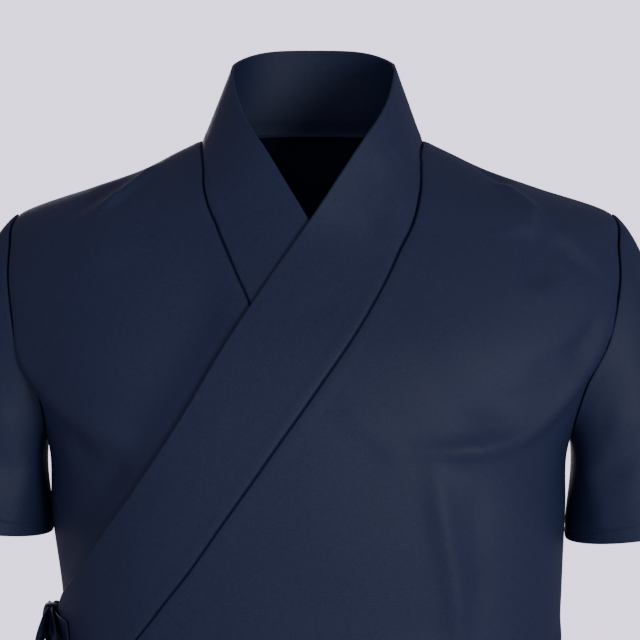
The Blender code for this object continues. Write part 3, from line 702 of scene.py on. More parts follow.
def leg(share, level, forward):
    """A place on the left trouser leg or hip, share of the way from outseam to inseam: half an
    oval below the crotch, a quarter of the hips' oval above it, and a J between them."""
    mid_x, mid_y_leg, side, front, back = columns_at(LEG_RINGS, level)
    depth_leg = front if forward > 0 else back
    angle = np.pi * share
    tube = np.stack([mid_x + side * np.cos(angle), mid_y_leg - forward * depth_leg * np.sin(angle)], -1)
    side, front, back, mid_y = columns_at(HIP_RINGS, level)
    depth = front if forward > 0 else back
    angle = np.pi / 2 * share
    hip = np.stack([CENTRE_GAP + (side - CENTRE_GAP) * np.cos(angle),
                    mid_y - forward * depth * np.sin(angle)], -1)
    rise = np.clip((level - CROTCH_LEVEL) / RISE, 0, 1)
    join = np.sqrt(1 - (1 - rise) ** 2)
    flat = (1 - join)[..., None] * tube + join[..., None] * hip
    # between the two ovals the depth passes evenly from one to the other
    turns = np.linspace(0, np.pi, 41)
    across = [(1 - join) * (mid_y_leg - forward * depth_leg * np.sin(t))
              + join * (mid_y - forward * depth * np.sin(t / 2)) for t in turns]
    reach = np.max(-forward * (np.array(across) - mid_y), axis=0)
    wanted = (1 - step(rise)) * (depth_leg - forward * (mid_y_leg - mid_y)) + step(rise) * depth
    # and not under the jacket, which lies close there
    below_hem = step((HEM_LEVEL - 4 - level) / 24)
    flat[..., 1] = mid_y + (flat[..., 1] - mid_y) * (1 + (wanted / reach - 1) * below_hem * (rise > 0))
    return np.concatenate([flat, np.broadcast_to(level, share.shape)[..., None]], -1)


def leg_panel(side, forward):
    """One trouser panel's grid, out directions and levels, from hem to waistband."""
    levels = np.concatenate([
        LEG_HEM_LEVEL + np.array([0, 1, 3, 8, 14, 20, 24, 25, 26, 30]),
        np.linspace(LEG_HEM_LEVEL + 36, CROTCH_LEVEL, 120),
        CROTCH_LEVEL + RISE * (1 - np.cos(np.linspace(0, np.pi / 2, 22)))[1:-1],
        np.linspace(RISE_TOP_LEVEL, WAIST_LEVEL - WAISTBAND_HEIGHT - SEAM, 36),
    ])
    share, level = np.meshgrid(shares(44, 260), levels)
    points = leg(share, level, forward)
    down = leg(share, level - 1, forward) - leg(share, level + 1, forward)
    before, after = np.clip(share - 0.01, 0, 1), np.clip(share + 0.01, 0, 1)
    inward = leg(after, level, forward) - leg(before, level, forward)
    out = unit(np.cross(inward, down) * forward)
    crests = fold_height(LEG_FOLDS, share, level, 250.0) * np.sin(np.pi * share) ** 0.5
    height = crests * step((CROTCH_LEVEL + 60 - level) / 120)

    low = step((CROTCH_LEVEL + 40 - level) / 60)
    creases = crease_height(LEG_CREASES[forward], lambda *place: leg(*place, forward), points, out)
    height += creases * low * np.sin(np.pi * share) ** 0.3
    height += unevenness(points, 0.6) * low
    for edge in (points[::2, 0], points[::2, -1]):
        away, _ = line_distance(points, edge, out)
        height += seam_dip(np.abs(away), 1.3) * (0.3 + 0.7 * low)
    # gathers under the waistband, which draws the cloth in
    pleats = np.sin(share * 2 * np.pi * 11 + 0.7 * np.sin(share * 19)) * step((level + 560) / 90)
    height += pleats * 0.5 - 0.5 * step((level + 560) / 90)
    height += hem_height(level - LEG_HEM_LEVEL, LEG_HEM, 1.4, 1.0)
    points = points + out * height[..., None]
    if side == "right":
        points, out = points * [-1, 1, 1], out * [-1, 1, 1]
    return points, out, level


def waistband_ring():
    """The waistband's outer face: the hips' highest rings, gathered in small pleats."""
    turns = np.radians(np.linspace(0, 360, 361)[:-1])
    levels = np.linspace(WAIST_LEVEL - WAISTBAND_HEIGHT, WAIST_LEVEL, 22)[:, None]
    side, front, back, mid_y = columns_at(HIP_RINGS, levels)
    depth = np.where(np.sin(turns) > 0, front, back)
    points = np.stack([
        side * np.cos(turns),
        mid_y - depth * np.sin(turns),
        np.broadcast_to(levels, (len(levels), len(turns))),
    ], -1)
    out = grid_out(points, True, points * [1, 1, 0])
    pleats = np.sin(turns * 44 + 1.3 * np.sin(turns * 7))
    sewn = sum(bell(levels - WAIST_LEVEL + below, 1.2) for below in WAISTBAND_STITCHES)
    height = 0.45 * pleats * (1 - 0.4 * sewn) - 0.45 - 0.5 * sewn
    return points + out * height[..., None], out


# ---------------------------------------------------------------- the bow's form

def ribbon(path, wide, count=9):
    """A tie's grid: its path, half its width to each side, a little hollow across."""
    wide = np.broadcast_to(unit(np.asarray(wide, float)), path.shape)
    out = unit(np.cross(np.gradient(path, axis=0), wide))
    side = np.linspace(-0.5, 0.5, count)[:, None, None]
    return path[None] + side * TIE_WIDTH * wide[None] + out[None] * (0.5 - 2 * side**2) * 0.9


def bow_loop(forward):
    """A loop of the bow: out from the knot and back in a drop's shape, bending down as it goes."""
    turns = np.radians(np.linspace(16, 344, 72))
    along_loop = LOOP_LENGTH * (1 - np.cos(turns)) / 2
    out = LOOP_BULGE * np.sin(turns) * (1 - np.cos(turns)) / 2 + (TIE_CLOTH + 0.5) * np.cos(turns / 2)
    out = out + 0.5 * np.sin(along_loop / 5.5) * np.sin(turns / 2) ** 2
    bend = LOOP_DROOP * along_loop / LOOP_LENGTH
    reach = KNOT_SIZE[1] / 2 - 0.2 + LOOP_LENGTH / LOOP_DROOP * np.sin(bend)
    drop = LOOP_LENGTH / LOOP_DROOP * (1 - np.cos(bend))
    path = np.stack([-out, -forward * reach, -drop], -1)
    wide = np.stack([0 * bend, -forward * np.sin(bend), np.cos(bend)], -1)
    return np.array(KNOT_CENTRE) + ribbon(path, wide)


def bow_tail(forward):
    """A tail of the bow: it leaves the knot's foot and hangs, with one slow wave."""
    share = np.linspace(0, 1, 60)
    path = np.stack([
        -1.6 * forward - 2 - 4 * np.sin(np.pi * share) + 2 * share,
        -forward * (2 + 18 * share**0.8),
        -KNOT_SIZE[2] / 2 - 0.5 - (TAIL_LENGTH + 14 * forward) * share,
    ], -1)
    wide = np.stack([0 * share, np.ones(60), -0.1 * forward * share], -1)
    return np.array(KNOT_CENTRE) + ribbon(path, wide)


def tie_root(forward):
    """The short stretch of tie that lies on the body from its stitching to the knot."""
    way = np.linspace(0, 1, 24)
    turns = 158 + 17.2 * way if forward > 0 else 202.5 - 18.0 * way
    levels = KNOT_CENTRE[2] + np.linspace(-0.5, 0.5, 9)[:, None] * TIE_WIDTH * 0.8
    lying = OVER_LIFT + BAND_LIFT + 1.5 * way**2 if forward > 0 else 5.5 * way**2
    return body(turns[None, :], row_of(BODY_RINGS, levels), lying + TIE_CLOTH + 0.5)


def knot_grid():
    """The knot: a rounded box of radius (cos^0.6, sin^0.6) with three wraps running round it."""
    turns = np.radians(np.linspace(0, 360, 73)[:-1])
    ends = np.radians(np.linspace(-88, 88, 37))[:, None]

    def bulge(value):
        return np.sign(value) * np.abs(value) ** 0.6

    wraps = 1 - 0.06 * np.abs(np.sin(3 * ends + 0.5 * np.sin(turns)))
    wraps -= 0.03 * np.sin(5 * turns + 2 * ends)
    return np.array(KNOT_CENTRE) + np.stack([
        KNOT_SIZE[0] / 2 * bulge(np.cos(turns)) * bulge(np.cos(ends)) * wraps,
        KNOT_SIZE[1] / 2 * bulge(np.sin(turns)) * bulge(np.cos(ends)) * wraps,
        KNOT_SIZE[2] / 2 * bulge(np.sin(ends)) + 0 * turns,
    ], -1)


# ---------------------------------------------------------------- making meshes

def weave_lengths(points):
    """Each place's way along the cloth in metres: u across, counted from the middle, and v along."""
    across = np.linalg.norm(np.diff(points, axis=1), axis=-1)
    u = np.concatenate([np.zeros((len(points), 1)), np.cumsum(across, axis=1)], axis=1)
    u -= u[:, u.shape[1] // 2, None]
    along = np.linalg.norm(np.diff(points, axis=0), axis=-1).mean(axis=1)
    v = np.concatenate([[0], np.cumsum(along)])[:, None] + 0 * u
    return np.stack([u, v], -1) * MM


def rim_places(rows, columns, tube):
    """The grid's edges in order: the (row, column) of each place, and of its neighbour inside."""
    if tube:
        columns = np.arange(columns)
        first, last = (
            np.stack(np.broadcast_arrays(row, columns, beside, columns), -1)
            for row, beside in ((0, 1), (rows - 1, rows - 2))
        )
        return [first, last[::-1]]
    r, c = np.arange(rows), np.arange(columns)
    places = np.concatenate([
        np.stack([0 * c, c], -1),
        np.stack([r, 0 * r + columns - 1], -1)[1:],
        np.stack([0 * c + rows - 1, c], -1)[-2::-1],
        np.stack([r, 0 * r], -1)[-2:0:-1],
    ])
    inside = np.stack([np.clip(places[:, 0], 1, rows - 2), np.clip(places[:, 1], 1, columns - 2)], -1)
    return [np.concatenate([places, inside], -1)]


def closed_round(grid):
    """A grid with its first column repeated as its last."""
    return np.concatenate([grid, grid[:, :1]], 1)


def cells(index):
    """The four-sided faces of a grid of place numbers."""
    corners = [index[:-1, :-1], index[:-1, 1:], index[1:, 1:], index[1:, :-1]]
    return np.stack(corners, -1).reshape(-1, 4)


def new_piece(name, places, faces, finish, face_uv=None):
    """A new smooth piece from places in mm, with the weave's place for each face corner."""
    mesh = bpy.data.meshes.new(name)
    mesh.from_pydata((places * MM).tolist(), [], faces)
    if face_uv is not None:
        layer = mesh.uv_layers.new(name="weave")
        layer.uv.foreach_set("vector", face_uv.astype(np.float32).ravel())
    mesh.shade_smooth()
    mesh.materials.append(finish)
    return link(name, mesh)


def link(name, content):
    """A new object at the origin."""
    made = bpy.data.objects.new(name, content)
    bpy.context.scene.collection.objects.link(made)
    return made


def cloth(name, outer, out, thickness, finish, tube=False):
    """One piece of cloth: its outer face, the same face thickness further in, and rounded rims.

    A rim is a half circle: sin(t) * thickness / 2 past the edge and (1 - cos(t)) * thickness / 2
    deep, for t at 45, 90 and 135 degrees.
    """
    rows, columns = outer.shape[:2]
    thickness = np.broadcast_to(thickness, (rows, columns))
    inner = outer - out * thickness[..., None]
    size = rows * columns
    index = np.arange(size).reshape(rows, columns)
    lengths = weave_lengths(closed_round(outer) if tube else outer)
    spread = np.arange(lengths.shape[0] * lengths.shape[1]).reshape(lengths.shape[:2])
    outer_cells, outer_uv = cells(closed_round(index) if tube else index), cells(spread)
    places = [outer.reshape(-1, 3), inner.reshape(-1, 3)]
    faces = [outer_cells, (outer_cells + size)[:, ::-1]]
    face_uv = [outer_uv, outer_uv[:, ::-1]]
    count = 2 * size
    for rim in rim_places(rows, columns, tube):
        at, beside = (rim[:, 0], rim[:, 1]), (rim[:, 2], rim[:, 3])
        away = unit(outer[at] - outer[beside])
        half = thickness[at][:, None] / 2
        rings = [index[at]]
        for t in np.radians([45, 90, 135]):
            places.append(outer[at] + away * half * np.sin(t) - out[at] * half * (1 - np.cos(t)))
            rings.append(count + np.arange(len(rim)))
            count += len(rim)
        rings.append(index[at] + size)
        uv_ring = spread[at]
        uv_ahead = np.roll(uv_ring, -1)
        for first, second in zip(rings[:-1], rings[1:]):
            faces.append(np.stack([np.roll(first, -1), first, second, np.roll(second, -1)], -1))
            face_uv.append(np.stack([uv_ahead, uv_ring, uv_ring, uv_ahead], -1))
    places, faces, face_uv = np.concatenate(places), np.concatenate(faces), np.concatenate(face_uv)
    a, b, d = (places[outer_cells[:, k]] for k in (0, 1, 3))
    cell_out = out[:-1, :spread.shape[1] - 1].reshape(-1, 3)
    if (np.cross(b - a, d - a) * cell_out).sum() < 0:
        faces, face_uv = faces[:, ::-1], face_uv[:, ::-1]
    return new_piece(name, places, faces.tolist(), finish, lengths.reshape(-1, 2)[face_uv.ravel()])


def stitches(name, line, out, closed=False, pitch=3.3):
    """A row of thread stitches along a line: each a small six-sided bead, its ends sunk in."""
    if closed:
        line, out = np.concatenate([line, line[:1]]), np.concatenate([out, out[:1]])
    way = np.concatenate([[0], np.cumsum(np.linalg.norm(np.diff(line, axis=0), axis=1))])
    at = np.arange(pitch / 2, way[-1], pitch)

    def along_way(values, where):
        return np.stack([np.interp(where, way, values[:, k]) for k in range(3)], -1)

    centre = along_way(line, at)
    ahead = unit(along_way(line, at + 0.6) - along_way(line, at - 0.6))
    up = unit(along_way(out, at))
    side = unit(np.cross(ahead, up))
    turns = np.radians(np.arange(0, 360, 60))
    along = np.array([-1.3, -0.7, 0.7, 1.3])
    thick = np.array([0.12, 0.26, 0.26, 0.12])
    rise = np.array([-0.15, 0.12, 0.12, -0.15])
    bead = np.stack([
        along[:, None] + 0 * turns,
        thick[:, None] * np.cos(turns),
        rise[:, None] + thick[:, None] * np.sin(turns),
    ]).reshape(3, -1, 1)
    places = centre[:, None] + bead[0] * ahead[:, None] + bead[1] * side[:, None] + bead[2] * up[:, None]
    ring = np.arange(6)
    following = (ring + 1) % 6
    quads = [
        np.stack([6 * k + ring, 6 * k + following, 6 * k + 6 + following, 6 * k + 6 + ring], -1)
        for k in range(3)
    ]
    ends = np.array([[0, 5, 4, 3], [0, 3, 2, 1], [18, 19, 20, 21], [18, 21, 22, 23]])
    faces = np.concatenate([*quads, ends]) + 24 * np.arange(len(at))[:, None, None]
    piece = new_piece(name, places.reshape(-1, 3), faces.reshape(-1, 4).tolist(), finish_named("thread"))
    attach(piece, "root")
    return piece


# ---------------------------------------------------------------- finishes

def linear(colour):
    """An sRGB hex colour as linear (red, green, blue, 1)."""
    parts = np.array([int(colour[k:k + 2], 16) for k in (1, 3, 5)]) / 255
    parts = np.where(parts <= 0.04045, parts / 12.92, ((parts + 0.055) / 1.055) ** 2.4)
    return (*parts.tolist(), 1.0)


def node(tree, kind, settings=(), values=(), links=()):
    """Adds a node: its settings, its inputs' values, and links as (input, output socket)."""
    made = tree.nodes.new(kind)
    for key, value in dict(settings).items():
        setattr(made, key, value)
    for key, value in dict(values).items():
        made.inputs[key].default_value = value
    for key, socket in dict(links).items():
        tree.links.new(made.inputs[key], socket)
    return made


def new_finish(name, **values):
    """A new material's node tree and shader, with the shader's inputs set to values."""
    made = bpy.data.materials.new(name)
    made.use_nodes = True
    shader = made.node_tree.nodes["Principled BSDF"]
    for key, value in values.items():
        shader.inputs[key.replace("_", " ")].default_value = value
    return made.node_tree, shader


def worked_out(tree, operation, *inputs):
    """A maths node's output. Each input is a number or another node's output."""
    numbers = {key: value for key, value in enumerate(inputs) if isinstance(value, float)}
    sockets = {key: value for key, value in enumerate(inputs) if key not in numbers}
    return node(tree, "ShaderNodeMath", {"operation": operation}, numbers, sockets).outputs[0]


def noise(tree, **values):
    """A noise laid out in the object's own space."""
    place = node(tree, "ShaderNodeTexCoord").outputs["Object"]
    return node(tree, "ShaderNodeTexNoise", values=values, links={"Vector": place}).outputs["Fac"]


def between(tree, shader, share, low, high):
    """Sets the shader's colour between two linear ones, by share."""
    mixed = node(tree, "ShaderNodeMix", {"data_type": "RGBA"}, {6: low, 7: high}, {0: share})
    tree.links.new(shader.inputs["Base Color"], mixed.outputs[2])


def woven(name, dark, light, roughness, thread_mm):
    """Plain-woven polyester and cotton, piece-dyed navy.

    Its threads lie over and under one another, so the eye sees a fine even speckle, and its
    brushed fibre ends catch light at a grazing angle as a soft sheen. Height is the product of
    two sine waves, one for warp and one for weft, plus slub noise drawn out along each.
    """
    tree, shader = new_finish(
        name, Roughness=roughness, IOR=1.46, Specular_IOR_Level=0.5,
        Sheen_Weight=0.04, Sheen_Roughness=0.4, Sheen_Tint=linear("#8FA3C8"))
    spacing = thread_mm * MM
    uv = node(tree, "ShaderNodeUVMap", {"uv_map": "weave"}).outputs["UV"]
    parts = node(tree, "ShaderNodeSeparateXYZ", links={0: uv}).outputs
    warp, weft = (
        worked_out(tree, "SINE", worked_out(tree, "MULTIPLY", parts[axis], np.pi / spacing))
        for axis in ("X", "Y")
    )
    over_under = worked_out(tree, "MULTIPLY", warp, weft)
    slubs = []
    for stretch in ((1.0, 0.16, 1.0), (0.16, 1.0, 1.0)):
        drawn = node(tree, "ShaderNodeMapping", {"vector_type": "POINT"}, {"Scale": stretch}, {"Vector": uv})
        slubs.append(node(
            tree, "ShaderNodeTexNoise", {"noise_dimensions": "2D"},
            {"Scale": 1 / (1.1 * spacing), "Detail": 2.0, "Roughness": 0.6},
            {"Vector": drawn.outputs[0]}).outputs["Fac"])
    slub = worked_out(tree, "ADD", *slubs)
    # colour: painted shade from the weave, darker on the threads that lie under and lighter on the raised
    # ones, then the slubs and a slow drift of the dye
    shade = worked_out(tree, "MULTIPLY_ADD", over_under, 0.10, -0.32)
    shade = worked_out(tree, "MULTIPLY_ADD", slub, 0.62, shade)
    shade = worked_out(tree, "MULTIPLY_ADD", noise(tree, Scale=7.0, Detail=3.0, Roughness=0.5), 0.35, shade)
    shade.node.use_clamp = True
    between(tree, shader, shade, linear(dark), linear(light))
    height = worked_out(tree, "MULTIPLY_ADD", over_under, 0.5, slub)
    bump = node(tree, "ShaderNodeBump", {}, {"Strength": 0.5, "Distance": 0.12 * MM}, {"Height": height})
    tree.links.new(shader.inputs["Normal"], bump.outputs[0])


def thread(name, colour):
    """Spun polyester sewing thread, twisted: a soft gloss in stripes across each stitch, painted into its
    colour as lighter patches of noise.
    """
    tree, shader = new_finish(name, Roughness=0.5, Sheen_Weight=0.2)
    base = linear(colour)
    painted_gloss = tuple(min(1.0, 1.7 * part) for part in base[:3]) + (1.0,)
    # painted highlight: lighter patches of noise stand in for the thread's gloss
    between(tree, shader, noise(tree, Scale=2500.0, Detail=1.0), base, painted_gloss)


def painted_floor(name, colour):
    """Matt painted board: nearly even, with a faint roller mottle."""
    tree, shader = new_finish(name, Roughness=0.85)
    base = linear(colour)
    darker = tuple(0.96 * part for part in base[:3]) + (1.0,)
    between(tree, shader, noise(tree, Scale=3.0, Detail=2.0), darker, base)


# ---------------------------------------------------------------- settings and operators

def colour_setting(name, where, default):
    return bpy.props.StringProperty(name=name, description=f"sRGB hex colour of the {where}", default=default)


def wall_setting(name, what, default, low, high):
    return bpy.props.FloatProperty(
        name=name, description=f"Thickness of the {what}", default=default, min=low, max=high,
        subtype="DISTANCE", unit="LENGTH")


class ClothSettings(bpy.types.PropertyGroup):
    jacket_dark: colour_setting("Jacket, dark threads", "shaded threads", "#1F2945")
    jacket_light: colour_setting("Jacket, light threads", "raised threads", "#323F63")
    trouser_dark: colour_setting("Trousers, dark threads", "shaded threads", "#1D2741")
    trouser_light: colour_setting("Trousers, light threads", "raised threads", "#2E3B5D")
    sewing_thread: colour_setting("Sewing thread", "stitching", "#26355A")
    thread_spacing: bpy.props.FloatProperty(
        name="Thread spacing", default=0.9, min=0.2, max=4.0,
        description="Distance between threads in mm; the real cloth has about 0.4, too fine to show")
    jacket_wall: wall_setting("Cloth thickness", "jacket's and trousers' cloth", 0.0009, 0.0004, 0.0013)
    band_wall: wall_setting("Band thickness", "folded collar band", 0.0022, 0.001, 0.0024)


class StudioSettings(bpy.types.PropertyGroup):
    floor_colour: colour_setting("Floor", "floor", "#DAD8E2")
    backdrop_colour: colour_setting("Backdrop", "backdrop light", "#D8D0E8")
    floor_level: bpy.props.FloatProperty(
        name="Floor level", description="Height of the floor", default=-1.56,
        subtype="DISTANCE", unit="LENGTH")
    key_power: bpy.props.FloatProperty(
        name="Key light", description="Power of the main light in watts", default=26.0, min=0.0,
        subtype="POWER", unit="POWER")
    ambient: bpy.props.FloatProperty(
        name="Ambient", description="Strength of the even light from all round", default=0.34, min=0.0)


FINISH_NAMES = {
    "jacket_cloth": "navy_plain_weave_jacket",
    "band_cloth": "navy_plain_weave_band",
    "trouser_cloth": "navy_plain_weave_trousers",
    "thread": "navy_sewing_thread",
}


def finish_named(slot):
    """The finish of a slot; the first call makes them all."""
    if FINISH_NAMES[slot] not in bpy.data.materials:
        look = bpy.context.scene.garment_cloth
        for kind, dark, light, roughness in (
            ("jacket_cloth", look.jacket_dark, look.jacket_light, 0.60),
            ("band_cloth", look.jacket_dark, look.jacket_light, 0.58),
            ("trouser_cloth", look.trouser_dark, look.trouser_light, 0.62),
        ):
            woven(FINISH_NAMES[kind], dark, light, roughness, look.thread_spacing)
        thread(FINISH_NAMES["thread"], look.sewing_thread)
    return bpy.data.materials[FINISH_NAMES[slot]]


def put_in_place(piece, node_name, slot, flat, area=None, held="hung", rests=(), extra=()):
    """Sets a finished piece of cloth in place of its solid: under the root, with the solid hidden."""
    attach(piece, "root")
    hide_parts(node_name)


def add_sheet(node_name, outer, out, thickness, slot, flat, tube=False, **declared):
    """A piece of cloth in place of its solid."""
    piece = cloth(f"{node_name}_cloth", outer, out, thickness, finish_named(slot), tube)
    put_in_place(piece, node_name, slot, flat, **declared)


def nearest_row(levels, wanted):
    return int(np.abs(levels - wanted).argmin())


def hem_stitches(name, points, out, level, wanted):
    """Stitches along the row of a panel that lies nearest the wanted level."""
    row = nearest_row(level[:, 0], wanted)
    return stitches(f"{name}_hem_stitches", points[row], out[row])


def add_jacket_panel(name, points, out, level, wall, flat, area, edge_top=None):
    """The back or a front, its hem turned up and stitched, and a front's free edge below edge_top."""
    extra = [hem_stitches(name, points, out, level, HEM_LEVEL + JACKET_HEM)]
    if edge_top is not None:
        edge = (slice(1, nearest_row(level[:, 0], edge_top)), EDGE_COLUMN)
        extra.append(stitches(f"{name}_edge_stitches", points[edge], out[edge]))
    thickness = hem_wall(wall, level - HEM_LEVEL, JACKET_HEM)
    add_sheet(name, points, out, thickness, "jacket_cloth", flat, area=area, extra=extra)


class GARMENT_OT_jacket_back(bpy.types.Operator):
    """Makes the jacket's back, one panel with its hem turned up and stitched"""
    bl_idname = "garment.jacket_back"
    bl_label = "Jacket back"

    def execute(self, context):
        wall = context.scene.garment_cloth.jacket_wall / MM
        add_jacket_panel("back", *back_panel(), wall, (0.56, 0.76), 0.37)
        return {"FINISHED"}


class GARMENT_OT_jacket_fronts(bpy.types.Operator):
    """Makes the two fronts, the wearer's left one lapping over the right"""
    bl_idname = "garment.jacket_fronts"
    bl_label = "Jacket fronts"

    def execute(self, context):
        wall = context.scene.garment_cloth.jacket_wall / MM
        for name, band, mirrored, area in (
            ("front_left", BAND_OVER, False, 0.295),
            ("front_right", BAND_UNDER, True, 0.28),
        ):
            panel = front_panel(band, mirrored)
            add_jacket_panel(name, *panel, wall, (0.54, 0.76), area, BAND_END_LEVEL - 4)
        return {"FINISHED"}


class GARMENT_OT_collar_band(bpy.types.Operator):
    """Makes the collar band, one folded strip up the underlap, round the neck and down the overlap"""
    bl_idname = "garment.collar_band"
    bl_label = "Collar band"

    def execute(self, context):
        wall = context.scene.garment_cloth.band_wall / MM
        points = collar_band()
        out = grid_out(points, False, points - np.array([0, 0, -60.0]))
        steps = np.diff(points, axis=1, prepend=points[:, :1])
        from_seam = np.cumsum(np.linalg.norm(steps, axis=-1), axis=1)
        # places that no crease of the band's top side goes to: the neck's back and the underlap
        hidden = (points[..., 1] > 0) | (np.arange(len(points))[:, None] < len(points) // 2)

        def on_band(x, z):
            apart = np.hypot(points[..., 0] - x[:, None, None], points[..., 2] - z[:, None, None])
            return points.reshape(-1, 3)[(apart + 1e3 * hidden).reshape(len(x), -1).argmin(1)]

        height = crease_height(BAND_CREASES, on_band, points, out)
        height += seam_dip(from_seam, 2.6, 0.8) + unevenness(points, 0.25)
        points = points + out * height[..., None]
        add_sheet("collar_band", points, out, wall, "band_cloth", (0.075, 1.40), held="folded")
        return {"FINISHED"}


class GARMENT_OT_sleeves(bpy.types.Operator):
    """Makes the two short sleeves, each with a turned and stitched hem"""
    bl_idname = "garment.sleeves"
    bl_label = "Sleeves"

    def execute(self, context):
        wall = context.scene.garment_cloth.jacket_wall / MM
        for side in ("left", "right"):
            points, out = sleeve(side)
            row = len(points) - 8
            line = stitches(f"sleeve_{side}_hem_stitches", points[row], out[row], closed=True)
            layers = 1 + (np.arange(len(points)) > row)[:, None]
            add_sheet(f"sleeve_{side}", points, out, wall * layers, "jacket_cloth", (0.43, 0.25),
                      tube=True, area=0.078, extra=[line])
        return {"FINISHED"}


class GARMENT_OT_trousers(bpy.types.Operator):
    """Makes the four trouser panels, seamed at the sides, inside the legs and down the middle"""
    bl_idname = "garment.trousers"
    bl_label = "Trousers"

    def execute(self, context):
        wall = context.scene.garment_cloth.jacket_wall / MM
        for side in ("left", "right"):
            for word, forward in (("front", 1), ("back", -1)):
                points, out, level = leg_panel(side, forward)
                name = f"trouser_{word}_{side}"
                line = hem_stitches(name, points, out, level, LEG_HEM_LEVEL + LEG_HEM)
                thickness = hem_wall(wall, level - LEG_HEM_LEVEL, LEG_HEM, 1.4)
                add_sheet(name, points, out, thickness, "trouser_cloth", (0.34, 1.09),
                          area=0.30, extra=[line])
        return {"FINISHED"}


class GARMENT_OT_waistband(bpy.types.Operator):
    """Makes the trousers' elastic waistband, gathered by its two rows of stitching"""
    bl_idname = "garment.waistband"
    bl_label = "Waistband"

    def execute(self, context):
        points, out = waistband_ring()
        rows = []
        for number, below in enumerate(WAISTBAND_STITCHES, 1):
            row = nearest_row(points[:, 0, 2], WAIST_LEVEL - below)
            rows.append(stitches(f"waistband_stitches_{number}", points[row], out[row], closed=True))
        add_sheet("waistband", points, out, WAISTBAND_WALL, "trouser_cloth", (0.96, 0.04),
                  tube=True, held="gathered", extra=rows)
        return {"FINISHED"}


class GARMENT_OT_side_tie(bpy.types.Operator):
    """Makes the two sewn ties and the bow that they are knotted in"""
    bl_idname = "garment.side_tie"
    bl_label = "Side tie"

    def execute(self, context):
        for word, forward in (("front", 1), ("back", -1)):
            for part, points, flat in (
                (f"tie_loop_{word}", bow_loop(forward), (0.02, 0.13)),
                (f"tie_tail_{word}", bow_tail(forward), (0.02, 0.165)),
                (f"tie_root_{word}", tie_root(forward), (0.02, 0.045)),
            ):
                centre = KNOT_CENTRE if "loop" in part else (0.0, 0.0, KNOT_CENTRE[2])
                out = grid_out(points, False, points - np.array(centre))
                add_sheet(part, points, out, RIBBON_WALL, "jacket_cloth", flat, held="folded")
        points = knot_grid()
        rows, columns = points.shape[:2]
        index = np.arange(rows * columns).reshape(rows, columns)
        faces = cells(closed_round(index)).tolist() + [index[0, ::-1].tolist(), index[-1].tolist()]
        corner = np.array([place for face in faces for place in face])
        # the weave has one column more than the knot, where it closes
        lengths = weave_lengths(closed_round(points)).reshape(-1, 2)
        face_uv = lengths[corner // columns * (columns + 1) + corner % columns]
        finish = finish_named("jacket_cloth")
        knot = new_piece("tie_knot_cloth", points.reshape(-1, 3), faces, finish, face_uv)
        put_in_place(knot, "tie_knot", "jacket_cloth", (0.02, 0.045),
                     held="folded", rests=["tie_root_front_cloth"])
        return {"FINISHED"}


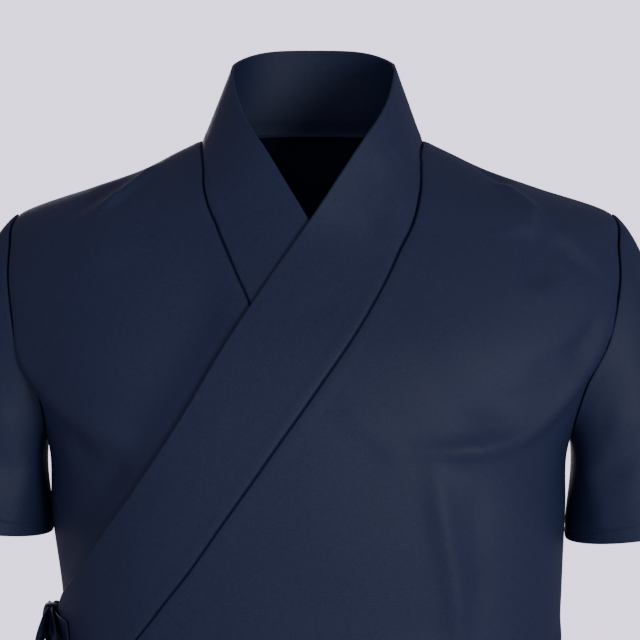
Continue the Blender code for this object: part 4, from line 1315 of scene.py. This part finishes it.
class GARMENT_OT_stage(bpy.types.Operator):
    """Makes the pale floor, the soft studio light and the camera"""
    bl_idname = "garment.stage"
    bl_label = "Stage"

    def execute(self, context):
        studio = context.scene.garment_studio
        turns = np.linspace(0, 2 * np.pi, 97)[:-1]
        round_it = FLOOR_RADIUS * np.stack([np.cos(turns), np.sin(turns), 0 * turns], -1)
        mesh = bpy.data.meshes.new("floor")
        mesh.from_pydata((round_it + [0, 0, studio.floor_level]).tolist(), [], [list(range(len(turns)))])
        painted_floor("pale_painted_floor", studio.floor_colour)
        mesh.materials.append(bpy.data.materials["pale_painted_floor"])
        link("floor", mesh)

        world = bpy.data.worlds.new("pale_backdrop")
        world.use_nodes = True
        tree = world.node_tree
        background = tree.nodes["Background"]
        background.inputs["Color"].default_value = linear(studio.backdrop_colour)
        # the backdrop is lit more than the garment, as in a studio with lights of its own
        seen = node(tree, "ShaderNodeLightPath").outputs["Is Camera Ray"]
        strength = worked_out(tree, "MULTIPLY_ADD", seen, BACKDROP_SEEN, studio.ambient)
        tree.links.new(background.inputs["Strength"], strength)
        context.scene.world = world

        # name, place, turn in degrees, size, power
        for name, place, turn, size, power in (
            ("key_light", (1.6, -2.6, 0.0), (86, 0, 32), 1.1, studio.key_power),
            ("fill_light", (-0.9, -2.8, -0.8), (101, 0, -18), 1.4, studio.key_power * 0.06),
            ("back_light", (-0.8, 2.9, 0.0), (-88, 0, 15), 1.2, studio.key_power * 0.7),
        ):
            lamp = bpy.data.lights.new(name, "AREA")
            lamp.shape, lamp.size, lamp.energy = "DISK", size, power
            light = link(name, lamp)
            light.location, light.rotation_euler = place, np.radians(turn)

        lens = bpy.data.cameras.new("camera")
        lens.lens, lens.sensor_width, lens.sensor_fit = CAMERA_LENS, 36.0, "HORIZONTAL"
        lens.clip_start, lens.clip_end = 0.05, 50.0
        camera = link("camera", lens)
        camera.location = CAMERA_PLACE
        camera.rotation_euler = (np.radians(90 - CAMERA_DOWN), 0, 0)
        context.scene.camera = camera
        return {"FINISHED"}


OPERATORS = (
    GARMENT_OT_jacket_back,
    GARMENT_OT_jacket_fronts,
    GARMENT_OT_collar_band,
    GARMENT_OT_sleeves,
    GARMENT_OT_trousers,
    GARMENT_OT_waistband,
    GARMENT_OT_side_tie,
    GARMENT_OT_stage,
)


class GARMENT_PT_panel(bpy.types.Panel):
    """Lists the garment's settings and pieces"""
    bl_idname = "GARMENT_PT_panel"
    bl_label = "Jacket and trousers set"
    bl_space_type = "VIEW_3D"
    bl_region_type = "UI"
    bl_category = "Garment"

    def draw(self, context):
        for group in (context.scene.garment_cloth, context.scene.garment_studio):
            box = self.layout.box()
            for key in group.__annotations__:
                box.prop(group, key)
        for operator in OPERATORS:
            self.layout.operator(operator.bl_idname)


CLASSES = (ClothSettings, StudioSettings, *OPERATORS, GARMENT_PT_panel)


def register():
    for made in CLASSES:
        bpy.utils.register_class(made)
    bpy.types.Scene.garment_cloth = bpy.props.PointerProperty(type=ClothSettings)
    bpy.types.Scene.garment_studio = bpy.props.PointerProperty(type=StudioSettings)


def unregister():
    del bpy.types.Scene.garment_studio
    del bpy.types.Scene.garment_cloth
    for made in reversed(CLASSES):
        bpy.utils.unregister_class(made)


def main():
    register()
    for operator in OPERATORS:
        group, name = operator.bl_idname.split(".")
        getattr(getattr(bpy.ops, group), name)()


if __name__ == "__main__":
    main()
